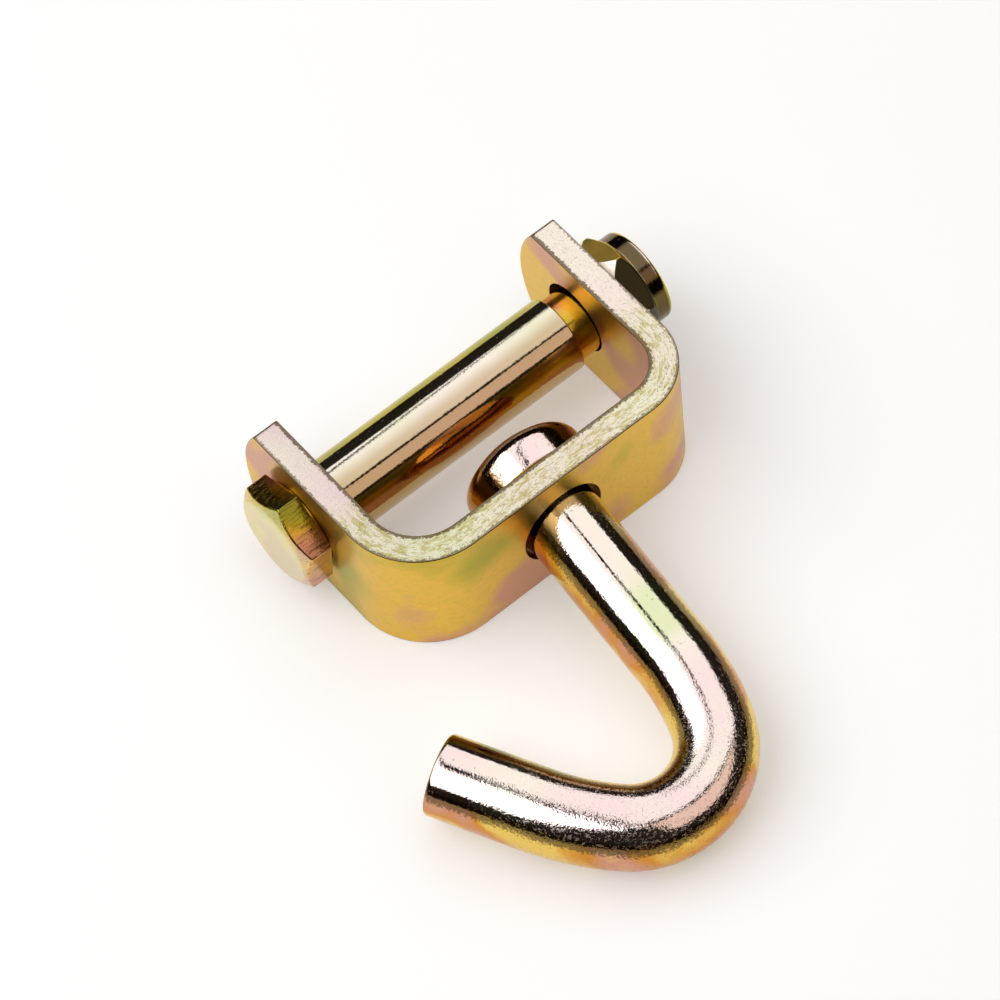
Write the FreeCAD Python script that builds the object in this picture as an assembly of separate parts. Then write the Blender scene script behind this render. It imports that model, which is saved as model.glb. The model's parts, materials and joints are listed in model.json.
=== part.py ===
import FreeCAD, Part
import math
import os

# Swivel J-hook with a U bracket, millimetres.
# Origin: on the cross bolt's axis, midway between the ears, at mid-width of the flat bar.
# +X runs from the bolt's head to its nut, +Y from the hook to the ear tips, +Z out of the U's plane.
# The fitting lies on the lower edges of its bracket, in the plane z = -flat_width / 2.

# ---- U bracket: flat bar bent into a U --------------------------------------
flat_width = 26.0
flat_thickness = 5.0
inner_gap = 53.8              # between the ears' inner faces
axis_to_base = 23.6           # bolt axis to the inner face of the base
ear_reach = 10.9              # bolt axis to the end of the ears' straight edges
ear_crown = 4.0               # how far the curved ear ends stand beyond them
bend_radius_head = 9.3        # inner radius of the bend on the bolt head's side
bend_radius_nut = 6.8         # inner radius of the bend on the nut's side
edge_round = 0.5              # worn round along the flat bar's long edges
ear_hole_clearance = 0.8      # ear hole radius over the bolt's radius
ear_hole_shift = 0.5          # the bolt is pulled this far off the hole centres by the strap
swivel_hole_clearance = 1.0   # swivel hole radius over the hook bar's radius

# ---- cross bolt --------------------------------------------------------------
bolt_diameter = 12.0
thread_undersize = 0.2        # plain envelope of the threaded end, under the bolt's diameter
thread_length = 13.2
head_overhang = 2.65          # half the head's flats over the bolt's radius
head_height = 6.0
head_turn = 36.0              # degrees, how the head's corners lie about the axis
head_face_share = 0.88        # flat end face's diameter as a share of the flats
washer_face_height = 0.5
washer_face_inset = 0.7       # washer face radius under half the flats
head_chamfer = 32.0           # degrees, on the corners at the end face
head_play = 0.1               # under the head, and under the nut
end_proud = 0.4               # bolt end beyond the nut
end_chamfer = 1.0

# ---- lock nut and its insert ---------------------------------------------------
nut_overhang = 2.75           # half the nut's flats over the bolt's radius
nut_turn = 34.0
nut_seat_share = 0.97         # flat bearing face's diameter as a share of the flats
nut_seat_chamfer = 66.0       # degrees, the steep cone on the ear's side
nut_face_share = 0.94
nut_face_chamfer = 32.0       # degrees, the cone under the collar
nut_hex_height = 5.6
nut_collar_height = 3.0
nut_collar_inset = 0.2        # collar radius under half the flats
collar_round = 1.4
collar_wall = 1.1
collar_lip = 0.5              # rolled lip that keeps the insert in
thread_clearance = 0.05
insert_length = 2.2

# ---- spacer sleeve ---------------------------------------------------------------
sleeve_wall = 0.9
sleeve_clearance = 0.1        # bore radius over the bolt's radius
sleeve_end_play = 4.3         # inner gap less the sleeve's length
sleeve_rest_gap = 0.15        # to the ear on the head's side, where the sleeve is stored
sleeve_edge = 0.2

# ---- swivel hook -------------------------------------------------------------------
hook_bar = 14.0
shank_length = 32.3           # from the middle of the base to the start of the bend
lead_in_radius = 44.7
lead_in_angle = 16.6
bend_radius = 13.8
bend_angle = 114.2
run_out_radius = 48.0
run_out_angle = 17.3
tip_length = 16.7
tip_round = 0.7
upset_overhang = 4.05         # upset head radius over the bar's radius
upset_height = 9.7            # underside to crown
upset_edge_radius = 3.6       # round between the head's side and its crown
upset_crown_radius = 18.0
upset_under_round = 0.8
hook_lean = 3.93              # degrees, shank leaning towards the bolt head's side
hook_roll = 1.83              # degrees, hook plane rolled about its own shank
shank_offset = 0.25           # shank centre off the hole centre, towards the nut's side
head_seat_play = 0.3          # least gap between the head's rim and the base
floor_play = 0.15             # least height of the hook above the bracket's lower edges

# ---- worked out from the sizes above --------------------------------------------------
half_gap = inner_gap / 2
ear_outside = half_gap + flat_thickness
base_outside = axis_to_base + flat_thickness
ear_tip = ear_reach + ear_crown
bolt_radius = bolt_diameter / 2
thread_radius = bolt_radius - thread_undersize / 2
head_flats = 2 * (bolt_radius + head_overhang)
nut_flats = 2 * (bolt_radius + nut_overhang)
collar_radius = nut_flats / 2 - nut_collar_inset
insert_radius = collar_radius - collar_wall
ear_hole_radius = bolt_radius + ear_hole_clearance
swivel_hole_radius = hook_bar / 2 + swivel_hole_clearance
sleeve_bore_radius = bolt_radius + sleeve_clearance
sleeve_radius = sleeve_bore_radius + sleeve_wall
sleeve_length = inner_gap - sleeve_end_play
nut_start = ear_outside + head_play
hex_end = nut_start + nut_hex_height
nut_end = hex_end + nut_collar_height
insert_end = nut_end - collar_lip
hook_radius = hook_bar / 2
upset_radius = hook_radius + upset_overhang

V = FreeCAD.Vector
AXIS_X = V(1, 0, 0)
AXIS_Y = V(0, 1, 0)
AXIS_Z = V(0, 0, 1)
ROOT_HALF = math.sqrt(0.5)


def wire_face(edges):
    return Part.Face(Part.Wire(edges))


def line(start, end):
    return Part.LineSegment(start, end).toShape()


def arc(start, middle, end):
    return Part.Arc(start, middle, end).toShape()


def polygon_face(points):
    return Part.Face(Part.makePolygon(points + points[:1]))


def revolve_about_x(profile):
    """Turn a closed (x, radius) outline about the bolt axis."""
    return polygon_face([V(x, r, 0) for x, r in profile]).revolve(V(0, 0, 0), AXIS_X, 360)


def rod_along_x(radius, start, end):
    return Part.makeCylinder(radius, end - start, V(start, 0, 0), AXIS_X)


def hex_prism(flats, start, end, turn):
    corner = flats / math.sqrt(3)
    points = []
    for side in range(6):
        angle = math.radians(turn + 60 * side)
        points.append(V(start, corner * math.cos(angle), corner * math.sin(angle)))
    return polygon_face(points).extrude(V(end - start, 0, 0))


def chamfer_body(flats, start, end, start_cone, end_cone=None):
    """Turned body whose cones cut back the corners of a hexagon.

    A cone is the flat face's share of the flats and the cone's angle from that face in degrees.
    """
    corner = 1.03 * flats / math.sqrt(3)

    def cone(face, inwards, share, angle):
        flat_radius = share * flats / 2
        drop = (corner - flat_radius) * math.tan(math.radians(angle))
        return [(face, flat_radius), (face + inwards * drop, corner)]

    profile = [(start, 0)] + cone(start, 1, *start_cone)
    if end_cone:
        profile += reversed(cone(end, -1, *end_cone))
    else:
        profile.append((end, corner))
    return revolve_about_x(profile + [(end, 0)])


def make_u_bracket():
    low = -flat_width / 2
    g, o = half_gap, ear_outside
    inside, outside = -axis_to_base, -base_outside
    rh, rn = bend_radius_head, bend_radius_nut
    head_centre = V(-g + rh, inside + rh, low)
    nut_centre = V(g - rn, inside + rn, low)

    def corner_arc(centre, radius, side, first):
        on_ear = centre + V(side * radius, 0, 0)
        on_base = centre + V(0, -radius, 0)
        middle = centre + V(side * radius * ROOT_HALF, -radius * ROOT_HALF, 0)
        return arc(on_ear, middle, on_base) if first == "ear" else arc(on_base, middle, on_ear)

    rh_out, rn_out = rh + flat_thickness, rn + flat_thickness
    profile = [
        line(V(-o, ear_tip, low), V(-o, head_centre.y, low)),
        corner_arc(head_centre, rh_out, -1, "ear"),
        line(V(head_centre.x, outside, low), V(nut_centre.x, outside, low)),
        corner_arc(nut_centre, rn_out, 1, "base"),
        line(V(o, nut_centre.y, low), V(o, ear_tip, low)),
        line(V(o, ear_tip, low), V(g, ear_tip, low)),
        line(V(g, ear_tip, low), V(g, nut_centre.y, low)),
        corner_arc(nut_centre, rn, 1, "ear"),
        line(V(nut_centre.x, inside, low), V(head_centre.x, inside, low)),
        corner_arc(head_centre, rh, -1, "base"),
        line(V(-g, head_centre.y, low), V(-g, ear_tip, low)),
        line(V(-g, ear_tip, low), V(-o, ear_tip, low)),
    ]
    bar = wire_face(profile).extrude(V(0, 0, flat_width))
    long_edges = [edge for edge in bar.Edges if runs_along_bar(edge)]
    bar = bar.makeFillet(edge_round, long_edges)

    half = flat_width / 2
    back = outside - flat_thickness
    x = -o - flat_thickness
    outline = wire_face([
        line(V(x, back, -half), V(x, ear_reach, -half)),
        arc(V(x, ear_reach, -half), V(x, ear_tip, 0), V(x, ear_reach, half)),
        line(V(x, ear_reach, half), V(x, back, half)),
        line(V(x, back, half), V(x, back, -half)),
    ])
    bar = bar.common(outline.extrude(V(-2 * x, 0, 0)))

    ear_holes = Part.makeCylinder(ear_hole_radius, -2 * x, V(x, ear_hole_shift, 0), AXIS_X)
    swivel_hole = Part.makeCylinder(
        swivel_hole_radius, 3 * flat_thickness, V(0, outside - flat_thickness, 0), AXIS_Y)
    return bar.cut(ear_holes).cut(swivel_hole)


def runs_along_bar(edge):
    """True for the edges that follow the U in the planes of its two sides."""
    box = edge.BoundBox
    in_plane = abs(abs(box.ZMin) - flat_width / 2) < 1e-6 and box.ZLength < 1e-6
    at_tip = box.YMin > ear_tip - 1e-6
    return in_plane and not at_tip


def make_cross_bolt():
    bearing = -ear_outside - head_play
    hex_start = bearing - washer_face_height
    face = bearing - head_height
    head = hex_prism(head_flats, face, hex_start, head_turn)
    head = head.common(chamfer_body(head_flats, face, hex_start, (head_face_share, head_chamfer)))
    washer_face = rod_along_x(head_flats / 2 - washer_face_inset, hex_start, bearing)
    end = nut_end + end_proud
    shank_end = end - thread_length
    shank = rod_along_x(bolt_radius, bearing, shank_end)
    r = thread_radius
    thread = revolve_about_x([
        (shank_end, 0), (shank_end, r), (end - end_chamfer, r), (end, r - end_chamfer), (end, 0)])
    return head.fuse([washer_face, shank, thread]).removeSplitter()


def make_lock_nut():
    nut = hex_prism(nut_flats, nut_start, hex_end, nut_turn)
    nut = nut.common(chamfer_body(
        nut_flats, nut_start, hex_end,
        (nut_seat_share, nut_seat_chamfer), (nut_face_share, nut_face_chamfer)))
    collar = rod_along_x(collar_radius, hex_end - nut_hex_height / 2, nut_end)
    rim = [edge for edge in collar.Edges if edge.BoundBox.XMin > nut_end - 1e-6]
    collar = collar.makeFillet(collar_round, rim)
    bore = rod_along_x(thread_radius + thread_clearance, nut_start - 1, nut_end + 1)
    pocket = rod_along_x(insert_radius, insert_end - insert_length, insert_end)
    mouth = rod_along_x(collar_radius - collar_round, insert_end, nut_end + 1)
    return nut.fuse(collar).removeSplitter().cut(bore.fuse([pocket, mouth]))


def make_nut_insert():
    ring = rod_along_x(insert_radius, insert_end - insert_length, insert_end)
    return ring.cut(rod_along_x(thread_radius, nut_start, nut_end + 1))


def make_spacer_sleeve():
    start = -half_gap + sleeve_rest_gap
    end = start + sleeve_length
    tube = rod_along_x(sleeve_radius, start, end)
    tube = tube.makeChamfer(sleeve_edge, [edge for edge in tube.Edges if edge.BoundBox.XLength < 1e-6])
    return tube.cut(rod_along_x(sleeve_bore_radius, start - 1, end + 1))


def hook_droop():
    """Angle that lays the bend on the plane of the bracket's lower edges, in radians."""
    first = math.radians(lead_in_angle)
    roll = math.sin(math.radians(hook_roll))
    reach = shank_length + (lead_in_radius - bend_radius) * math.sin(first) + bend_radius
    side = lead_in_radius * (1 - math.cos(first)) + bend_radius * math.cos(first)
    fall = flat_width / 2 - floor_play - hook_radius - roll * side
    return math.asin(fall / reach)


def hook_placement():
    """The shank's lean, droop and roll about the middle of the swivel hole."""
    lean = FreeCAD.Rotation(AXIS_Z, -hook_lean)
    droop = FreeCAD.Rotation(AXIS_X, math.degrees(hook_droop()))
    roll = FreeCAD.Rotation(AXIS_Y, -hook_roll)
    middle_of_base = V(shank_offset, -(axis_to_base + flat_thickness / 2), 0)
    return FreeCAD.Placement(middle_of_base, lean.multiply(droop).multiply(roll))


def hook_path(start):
    """Centreline from the head down the shank, round the J, to the tip, in the z = 0 plane."""
    position = V(0, -shank_length, 0)
    edges = [line(V(0, start, 0), position)]
    heading = -90.0

    def unit(degrees):
        return V(math.cos(math.radians(degrees)), math.sin(math.radians(degrees)), 0)

    turns = [
        (lead_in_radius, lead_in_angle),
        (bend_radius, bend_angle),
        (run_out_radius, run_out_angle),
    ]
    for radius, angle in turns:
        centre = position + unit(heading - 90) * radius
        middle = centre - unit(heading - angle / 2 - 90) * radius
        end = centre - unit(heading - angle - 90) * radius
        edges.append(arc(position, middle, end))
        position = end
        heading -= angle
    edges.append(line(position, position + unit(heading) * tip_length))
    return Part.Wire(edges)


def make_swivel_hook():
    tilt = math.acos(math.cos(math.radians(hook_lean)) * math.cos(hook_droop()))
    seat = flat_thickness / 2 + upset_radius * math.tan(tilt) + head_seat_play
    bar_start = seat + upset_height / 3
    path = hook_path(bar_start)
    section = Part.Wire(Part.makeCircle(hook_radius, V(0, bar_start, 0), AXIS_Y))
    bar = path.makePipeShell([section], True, False)
    tip = path.Edges[-1].valueAt(path.Edges[-1].LastParameter)
    rims = [edge for edge in bar.Edges if is_round_at(edge, tip)]
    bar = bar.makeFillet(tip_round, rims)

    hook = bar.fuse(make_upset_head(seat)).removeSplitter()
    hook.Placement = hook_placement()
    return hook


def make_upset_head(seat):
    """Turned mushroom head on the shank's axis: small round, side, edge round, crown."""
    r, small = upset_radius, upset_under_round
    edge, crown = upset_edge_radius, upset_crown_radius
    join_angle = math.asin((r - edge) / (crown - edge))
    top = seat + upset_height
    crown_centre = V(0, top - crown, 0)
    edge_centre = V(r - edge, crown_centre.y + (crown - edge) * math.cos(join_angle), 0)

    def at(centre, radius, angle_from_axis):
        return centre + V(radius * math.sin(angle_from_axis), radius * math.cos(angle_from_axis), 0)

    small_centre = V(r - small, seat + small, 0)
    join = at(crown_centre, crown, join_angle)
    outline = wire_face([
        line(V(0, seat, 0), V(r - small, seat, 0)),
        arc(V(r - small, seat, 0), at(small_centre, small, 0.75 * math.pi), V(r, seat + small, 0)),
        line(V(r, seat + small, 0), V(r, edge_centre.y, 0)),
        arc(V(r, edge_centre.y, 0), at(edge_centre, edge, (join_angle + math.pi / 2) / 2), join),
        arc(join, at(crown_centre, crown, join_angle / 2), V(0, top, 0)),
        line(V(0, top, 0), V(0, seat, 0)),
    ])
    return outline.revolve(V(0, 0, 0), AXIS_Y, 360)


def is_round_at(edge, point):
    """True for a full circle of the bar centred on the point."""
    return edge.isClosed() and edge.BoundBox.Center.distanceToPoint(point) < 0.1 * hook_radius


NODES = {
    "u_bracket": make_u_bracket,
    "cross_bolt": make_cross_bolt,
    "spacer_sleeve": make_spacer_sleeve,
    "lock_nut": make_lock_nut,
    "nut_insert": make_nut_insert,
    "swivel_hook": make_swivel_hook,
}


def write_parts():
    os.makedirs("parts", exist_ok=True)
    for name, make in NODES.items():
        shape = make()
        box = shape.BoundBox
        print(name, "solids", len(shape.Solids), "valid", shape.isValid(),
              "volume", round(shape.Volume, 1),
              "lowest", [round(value, 2) for value in (box.XMin, box.YMin, box.ZMin)],
              "highest", [round(value, 2) for value in (box.XMax, box.YMax, box.ZMax)])
        shape.exportStep("parts/" + name + ".step")


def print_swivel_axis():
    placement = hook_placement()
    direction = placement.Rotation.multVec(V(0, -1, 0))
    print("swivel axis through", [round(value, 4) for value in placement.Base],
          "towards", [round(value, 5) for value in direction])


write_parts()
print_swivel_axis()
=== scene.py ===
import json
import math

import bmesh
import bpy
from mathutils import Matrix, Vector


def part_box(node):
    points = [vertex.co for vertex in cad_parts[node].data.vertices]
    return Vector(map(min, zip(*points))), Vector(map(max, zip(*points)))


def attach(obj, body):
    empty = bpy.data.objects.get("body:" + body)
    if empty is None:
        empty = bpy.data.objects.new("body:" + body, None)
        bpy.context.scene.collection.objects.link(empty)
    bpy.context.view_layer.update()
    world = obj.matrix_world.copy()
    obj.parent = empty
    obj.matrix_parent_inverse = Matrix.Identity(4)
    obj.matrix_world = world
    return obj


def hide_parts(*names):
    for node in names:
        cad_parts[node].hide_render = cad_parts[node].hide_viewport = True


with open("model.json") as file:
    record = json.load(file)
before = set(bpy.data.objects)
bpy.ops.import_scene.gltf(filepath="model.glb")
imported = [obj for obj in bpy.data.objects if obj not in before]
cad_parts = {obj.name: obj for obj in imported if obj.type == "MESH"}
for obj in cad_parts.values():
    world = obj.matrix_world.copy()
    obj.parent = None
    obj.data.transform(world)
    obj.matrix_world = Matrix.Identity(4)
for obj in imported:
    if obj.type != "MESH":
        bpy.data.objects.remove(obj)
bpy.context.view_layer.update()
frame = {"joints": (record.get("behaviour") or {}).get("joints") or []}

# Finished pieces of a swivel J-hook fitting: U bracket, cross bolt, lock nut with its nylon ring,
# spacer sleeve and swivel hook. Metres, in the frame's axes: +X runs from the bolt's head to its nut,
# +Y from the hook to the ear tips, and +Z out of the U's plane.

bl_info = {
    "name": "Swivel J-hook fitting",
    "version": (1, 0, 0),
    "blender": (4, 5, 0),
    "location": "3D View > Sidebar > Swivel hook",
    "description": "Builds the plated pieces of a swivel J-hook fitting around its CAD frame",
    "category": "Add Mesh",
}

MM = 0.001


# ---- sizes and colours that a user would change --------------------------------------------------

def length(name, description, millimetres):
    """A length property whose default is given in millimetres."""
    return bpy.props.FloatProperty(
        name=name, description=description, default=millimetres * MM, unit="LENGTH", precision=5)


def angle(name, description, degrees):
    """An angle property whose default is given in degrees."""
    return bpy.props.FloatProperty(
        name=name, description=description, default=math.radians(degrees), subtype="ANGLE")


def share(name, description, default, highest=1.0):
    """A plain number property from 0 to highest."""
    return bpy.props.FloatProperty(
        name=name, description=description, default=default, min=0.0, max=highest, subtype="FACTOR")


def colour(name, description, default):
    """A colour property, scene linear."""
    return bpy.props.FloatVectorProperty(
        name=name, description=description, default=default, size=3, min=0.0, max=1.0, subtype="COLOR")


class BracketSizes(bpy.types.PropertyGroup):
    """Flat bar bent into a U; its overall size comes from the frame."""

    thickness: length("Thickness", "Thickness of the flat bar", 5.0)
    head_bend: length("Bend at the bolt head", "Inner radius of the bend on the bolt head's side", 9.3)
    nut_bend: length("Bend at the nut", "Inner radius of the bend on the nut's side", 6.8)
    ear_crown: length("Ear crown", "How far the curved ear ends stand beyond their corners", 4.0)
    corner_round: length("Corner round", "Round at the corners of the ear ends, seen flat", 0.7)
    ear_hole: length("Ear hole", "Radius of the holes for the bolt", 6.8)
    ear_hole_shift: length("Ear hole shift", "Hole centres from the bolt's axis towards the tips", 0.5)
    swivel_hole: length("Swivel hole", "Radius of the hole for the hook's shank", 8.0)
    edge_round: length("Edge round", "Round along the long edges", 0.5)
    hole_round: length("Hole edge round", "Round at the edges of the holes", 0.3)


class BoltSizes(bpy.types.PropertyGroup):
    """Hexagon head bolt; its ends come from the frame."""

    radius: length("Shank radius", "Radius of the plain shank", 6.0)
    flats: length("Across flats", "Width of the head across its flats", 17.3)
    head_height: length("Head height", "Bearing face to end face", 6.0)
    head_turn: angle("Head turn", "How the head's corners lie about the axis", 36.0)
    face_share: share("End face", "Diameter of the flat end face as a share of the flats", 0.88)
    chamfer: angle("Chamfer", "Cone on the head's corners, from its end face", 32.0)
    washer_height: length("Washer face", "Height of the round bearing face", 0.5)
    washer_inset: length("Washer face inset", "Bearing face radius under half the flats", 0.7)
    fillet: length("Fillet", "Fillet under the head", 0.35)
    thread_length: length("Thread length", "Length of the thread", 13.2)
    thread_radius: length("Thread radius", "Radius over the thread's crests", 5.9)
    thread_pitch: length("Pitch", "Pitch of the thread", 1.75)
    thread_depth: length("Thread depth", "Crest to root", 1.05)
    end_chamfer: length("End chamfer", "Chamfer at the threaded end", 1.0)
    face_round: length("Face round", "Round at the rim of the end face", 0.5)
    side_round: length("Side round", "Round between the head's chamfer and its sides", 0.28)
    back_round: length("Back round", "Round at the back of the hexagon", 0.18)
    washer_round: length("Washer face round", "Rounds of the washer face", 0.1)
    thread_step: length("Step to thread", "Length of the step from shank to thread", 0.3)
    thread_round: length("Thread rounds", "Rounds of that step", 0.08)
    end_round: length("End round", "Rounds of the end chamfer", 0.15)


class NutSizes(bpy.types.PropertyGroup):
    """Collared lock nut with a nylon ring; its ends come from the frame."""

    flats: length("Across flats", "Width across the flats", 17.5)
    turn: angle("Nut turn", "How the nut's corners lie about the axis", 34.0)
    seat_share: share("Bearing face", "Diameter of the bearing face as a share of the flats", 0.97)
    seat_chamfer: angle("Bearing chamfer", "Cone on the corners, from the bearing face", 66.0)
    face_share: share("Face", "Start of the collar's cone as a share of the flats", 0.94)
    face_chamfer: angle("Collar chamfer", "Cone on the corners under the collar", 32.0)
    hex_height: length("Hexagon height", "Height of the hexagon", 5.6)
    collar_radius: length("Collar radius", "Radius of the collar", 8.55)
    collar_round: length("Collar round", "Round at the collar's end", 1.25)
    mouth_radius: length("Mouth radius", "Radius of the opening in the rolled lip", 7.15)
    lip: length("Lip", "Thickness of the rolled lip", 0.5)
    insert_radius: length("Ring radius", "Outer radius of the nylon ring", 7.45)
    insert_length: length("Ring length", "Length of the nylon ring", 2.2)
    bore_radius: length("Bore radius", "Bore over the thread's grooves", 5.95)
    countersink: length("Countersink", "Countersink of the bore", 0.5)
    bore_round: length("Bore round", "Rounds at the bore's mouth", 0.08)
    seat_round: length("Bearing round", "Round at the rim of the bearing face", 0.2)
    side_round: length("Side round", "Rounds at the ends of the hexagon's sides", 0.25)
    neck_round: length("Neck round", "Rounds at the collar's foot and mouth", 0.12)
    pocket_round: length("Pocket round", "Rounds in the ring's pocket", 0.05)
    insert_round: length("Ring round", "Rounds of the nylon ring", 0.1)
    insert_flare: length("Ring flare", "Round where the bolt leaves the ring", 0.3)


class SleeveSizes(bpy.types.PropertyGroup):
    """Turned spacer tube; its ends and outer size come from the frame."""

    bore_radius: length("Bore radius", "Radius of the bore", 6.1)
    edge: length("Edge", "Chamfer at the ends", 0.2)
    bore_round: length("Bore round", "Rounds at the bore's mouths", 0.08)
    end_round: length("End round", "Rounds at the end faces", 0.06)
    edge_round: length("Edge round", "Rounds between the chamfers and the outside", 0.1)


class HookSizes(bpy.types.PropertyGroup):
    """Round bar with an upset head, bent into a J; its place comes from the swivel joint."""

    bar_radius: length("Bar radius", "Radius of the bar", 7.0)
    shank: length("Shank", "Middle of the bracket's base to the start of the bend", 32.3)
    lead_in_radius: length("Lead-in radius", "Centreline radius of the first gentle bend", 44.7)
    lead_in: angle("Lead-in", "Turn of the first gentle bend", 16.6)
    bend_radius: length("Bend radius", "Centreline radius of the main bend", 13.8)
    bend: angle("Bend", "Turn of the main bend", 114.2)
    run_out_radius: length("Run-out radius", "Centreline radius of the last gentle bend", 48.0)
    run_out: angle("Run-out", "Turn of the last gentle bend", 17.3)
    tip: length("Tip", "Length of the straight tip", 16.7)
    tip_round: length("Tip round", "Round at the sawn tip", 0.7)
    head_radius: length("Head radius", "Radius of the upset head", 11.05)
    head_height: length("Head height", "Underside to crown", 9.7)
    head_edge: length("Head edge", "Round between the head's side and its crown", 3.6)
    head_crown: length("Head crown", "Radius of the crown", 18.0)
    head_under: length("Head underside round", "Round at the underside's rim", 0.8)
    head_fillet: length("Head fillet", "Fillet between the underside and the bar", 0.9)
    head_gap: length("Head gap", "Least gap between the head's rim and the base", 0.3)
    base_thickness: length("Base thickness", "Thickness of the bracket's base", 5.0)
    roll: angle("Roll", "Roll of the J's plane about the shank", 1.83)
    unevenness: length("Unevenness", "How far the forged surface wanders", 0.06)


class PlatingColours(bpy.types.PropertyGroup):
    """Yellow chromate on zinc: the colours that its film runs through, some also painted as highlights
    and dark reflections.
    """

    gold: colour("Gold", "Main colour of the film", (0.76, 0.47, 0.06))
    orange: colour("Orange", "Thicker film", (0.62, 0.26, 0.03))
    olive: colour("Olive", "Thinner film", (0.46, 0.39, 0.03))
    green: colour("Green", "Greenish patches", (0.30, 0.33, 0.04))
    rose: colour("Rose", "Pinkish patches", (0.62, 0.30, 0.20))
    yellow: colour("Yellow", "Bright film on the polished bar", (0.79, 0.55, 0.12))
    copper: colour("Copper", "Thickest film", (0.50, 0.22, 0.09))
    # Brown is real in pits, saw and trim marks and grit; it also paints dark reflection on the bracket's
    # edges, the hook's shoulders and the sleeve's side towards the hook.
    brown: colour("Brown", "Thick film in the corners", (0.12, 0.08, 0.03))
    # Paints a dark reflection on the nut's flats that face -Y.
    dark_reflection_black: colour("Soot", "Blackened film on the nut's flats", (0.05, 0.042, 0.02))
    # Pale rose, cream and pale green paint the highlights where pieces face the soft boxes; cream also
    # mottles the nylon ring, and pale green also tints the bolt's end faces.
    pale_rose: colour("Pale rose", "Palest film", (0.92, 0.74, 0.73))
    cream: colour("Cream", "Pale film", (0.92, 0.85, 0.74))
    pale_green: colour("Pale green", "Pale greenish film", (0.77, 0.81, 0.52))
    # Tan paints the sleeve's reflection of the bracket, on its side towards the hook.
    tan: colour("Tan", "Dull film under the sleeve", (0.54, 0.38, 0.19))
    nylon: colour("Nylon", "The nut's locking ring", (0.72, 0.73, 0.70))


class StudioSettings(bpy.types.PropertyGroup):
    """Camera and soft light."""

    target: bpy.props.FloatVectorProperty(
        name="Target", description="Point that the camera looks at",
        default=(-5.12 * MM, -18.51 * MM, 0.0), subtype="TRANSLATION", unit="LENGTH")
    distance: length("Distance", "Camera to target", 897.4)
    azimuth: angle("Azimuth", "Camera direction round Z; 0 looks along +Y", -33.2136)
    elevation: angle("Elevation", "Camera height above the horizon", 58.614)
    roll: angle("Roll", "Camera turn about its own axis", -7.4449)
    lens: bpy.props.FloatProperty(
        name="Lens", description="Focal length in millimetres", default=197.44, min=1.0)
    light_height: length("Light height", "Height of the soft boxes over the floor", 1000.0)
    white: share("White box", "Brightness of the left soft box", 2.2, 20.0)
    pale: share("Pale box", "Brightness of the right soft box", 1.06, 20.0)
    dim: share("Dim box", "Brightness of the low soft box", 0.85, 20.0)
    floor_glow: share("Floor glow", "Light that the floor gives by itself", 0.31, 5.0)


class FittingSettings(bpy.types.PropertyGroup):
    """All settings of the fitting."""

    bracket: bpy.props.PointerProperty(type=BracketSizes, name="Bracket")
    bolt: bpy.props.PointerProperty(type=BoltSizes, name="Bolt")
    nut: bpy.props.PointerProperty(type=NutSizes, name="Nut")
    sleeve: bpy.props.PointerProperty(type=SleeveSizes, name="Sleeve")
    hook: bpy.props.PointerProperty(type=HookSizes, name="Hook")
    plating: bpy.props.PointerProperty(type=PlatingColours, name="Plating")
    studio: bpy.props.PointerProperty(type=StudioSettings, name="Studio")


def settings():
    """The fitting's settings in this scene."""
    return bpy.context.scene.swivel_fitting


# ---- node maths written as Python ----------------------------------------------------------------

class Wire:
    """A node's output that takes part in sums."""

    def __init__(self, nodes, socket):
        self.nodes = nodes
        self.socket = socket

    def output(self, name):
        """Another output of the same node."""
        return Wire(self.nodes, self.socket.node.outputs[name])

    def __add__(self, other):
        return self.nodes.maths("ADD", self, other)

    def __radd__(self, other):
        return self.nodes.maths("ADD", other, self)

    def __sub__(self, other):
        return self.nodes.maths("SUBTRACT", self, other)

    def __rsub__(self, other):
        return self.nodes.maths("SUBTRACT", other, self)

    def __mul__(self, other):
        return self.nodes.maths("MULTIPLY", self, other)

    def __rmul__(self, other):
        return self.nodes.maths("MULTIPLY", other, self)

    def __truediv__(self, other):
        return self.nodes.maths("DIVIDE", self, other)

    def __gt__(self, other):
        return self.nodes.maths("GREATER_THAN", self, other)

    def __neg__(self):
        return 0.0 - self

    def __abs__(self):
        return self.nodes.maths("ABSOLUTE", self)

    def ramp(self, low, high):
        """0 below low, 1 above high, smooth between them."""
        return self.nodes.add(
            "ShaderNodeMapRange", {"interpolation_type": "SMOOTHSTEP"},
            {"Value": self, "From Min": low, "From Max": high, "To Min": 0.0, "To Max": 1.0})


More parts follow.
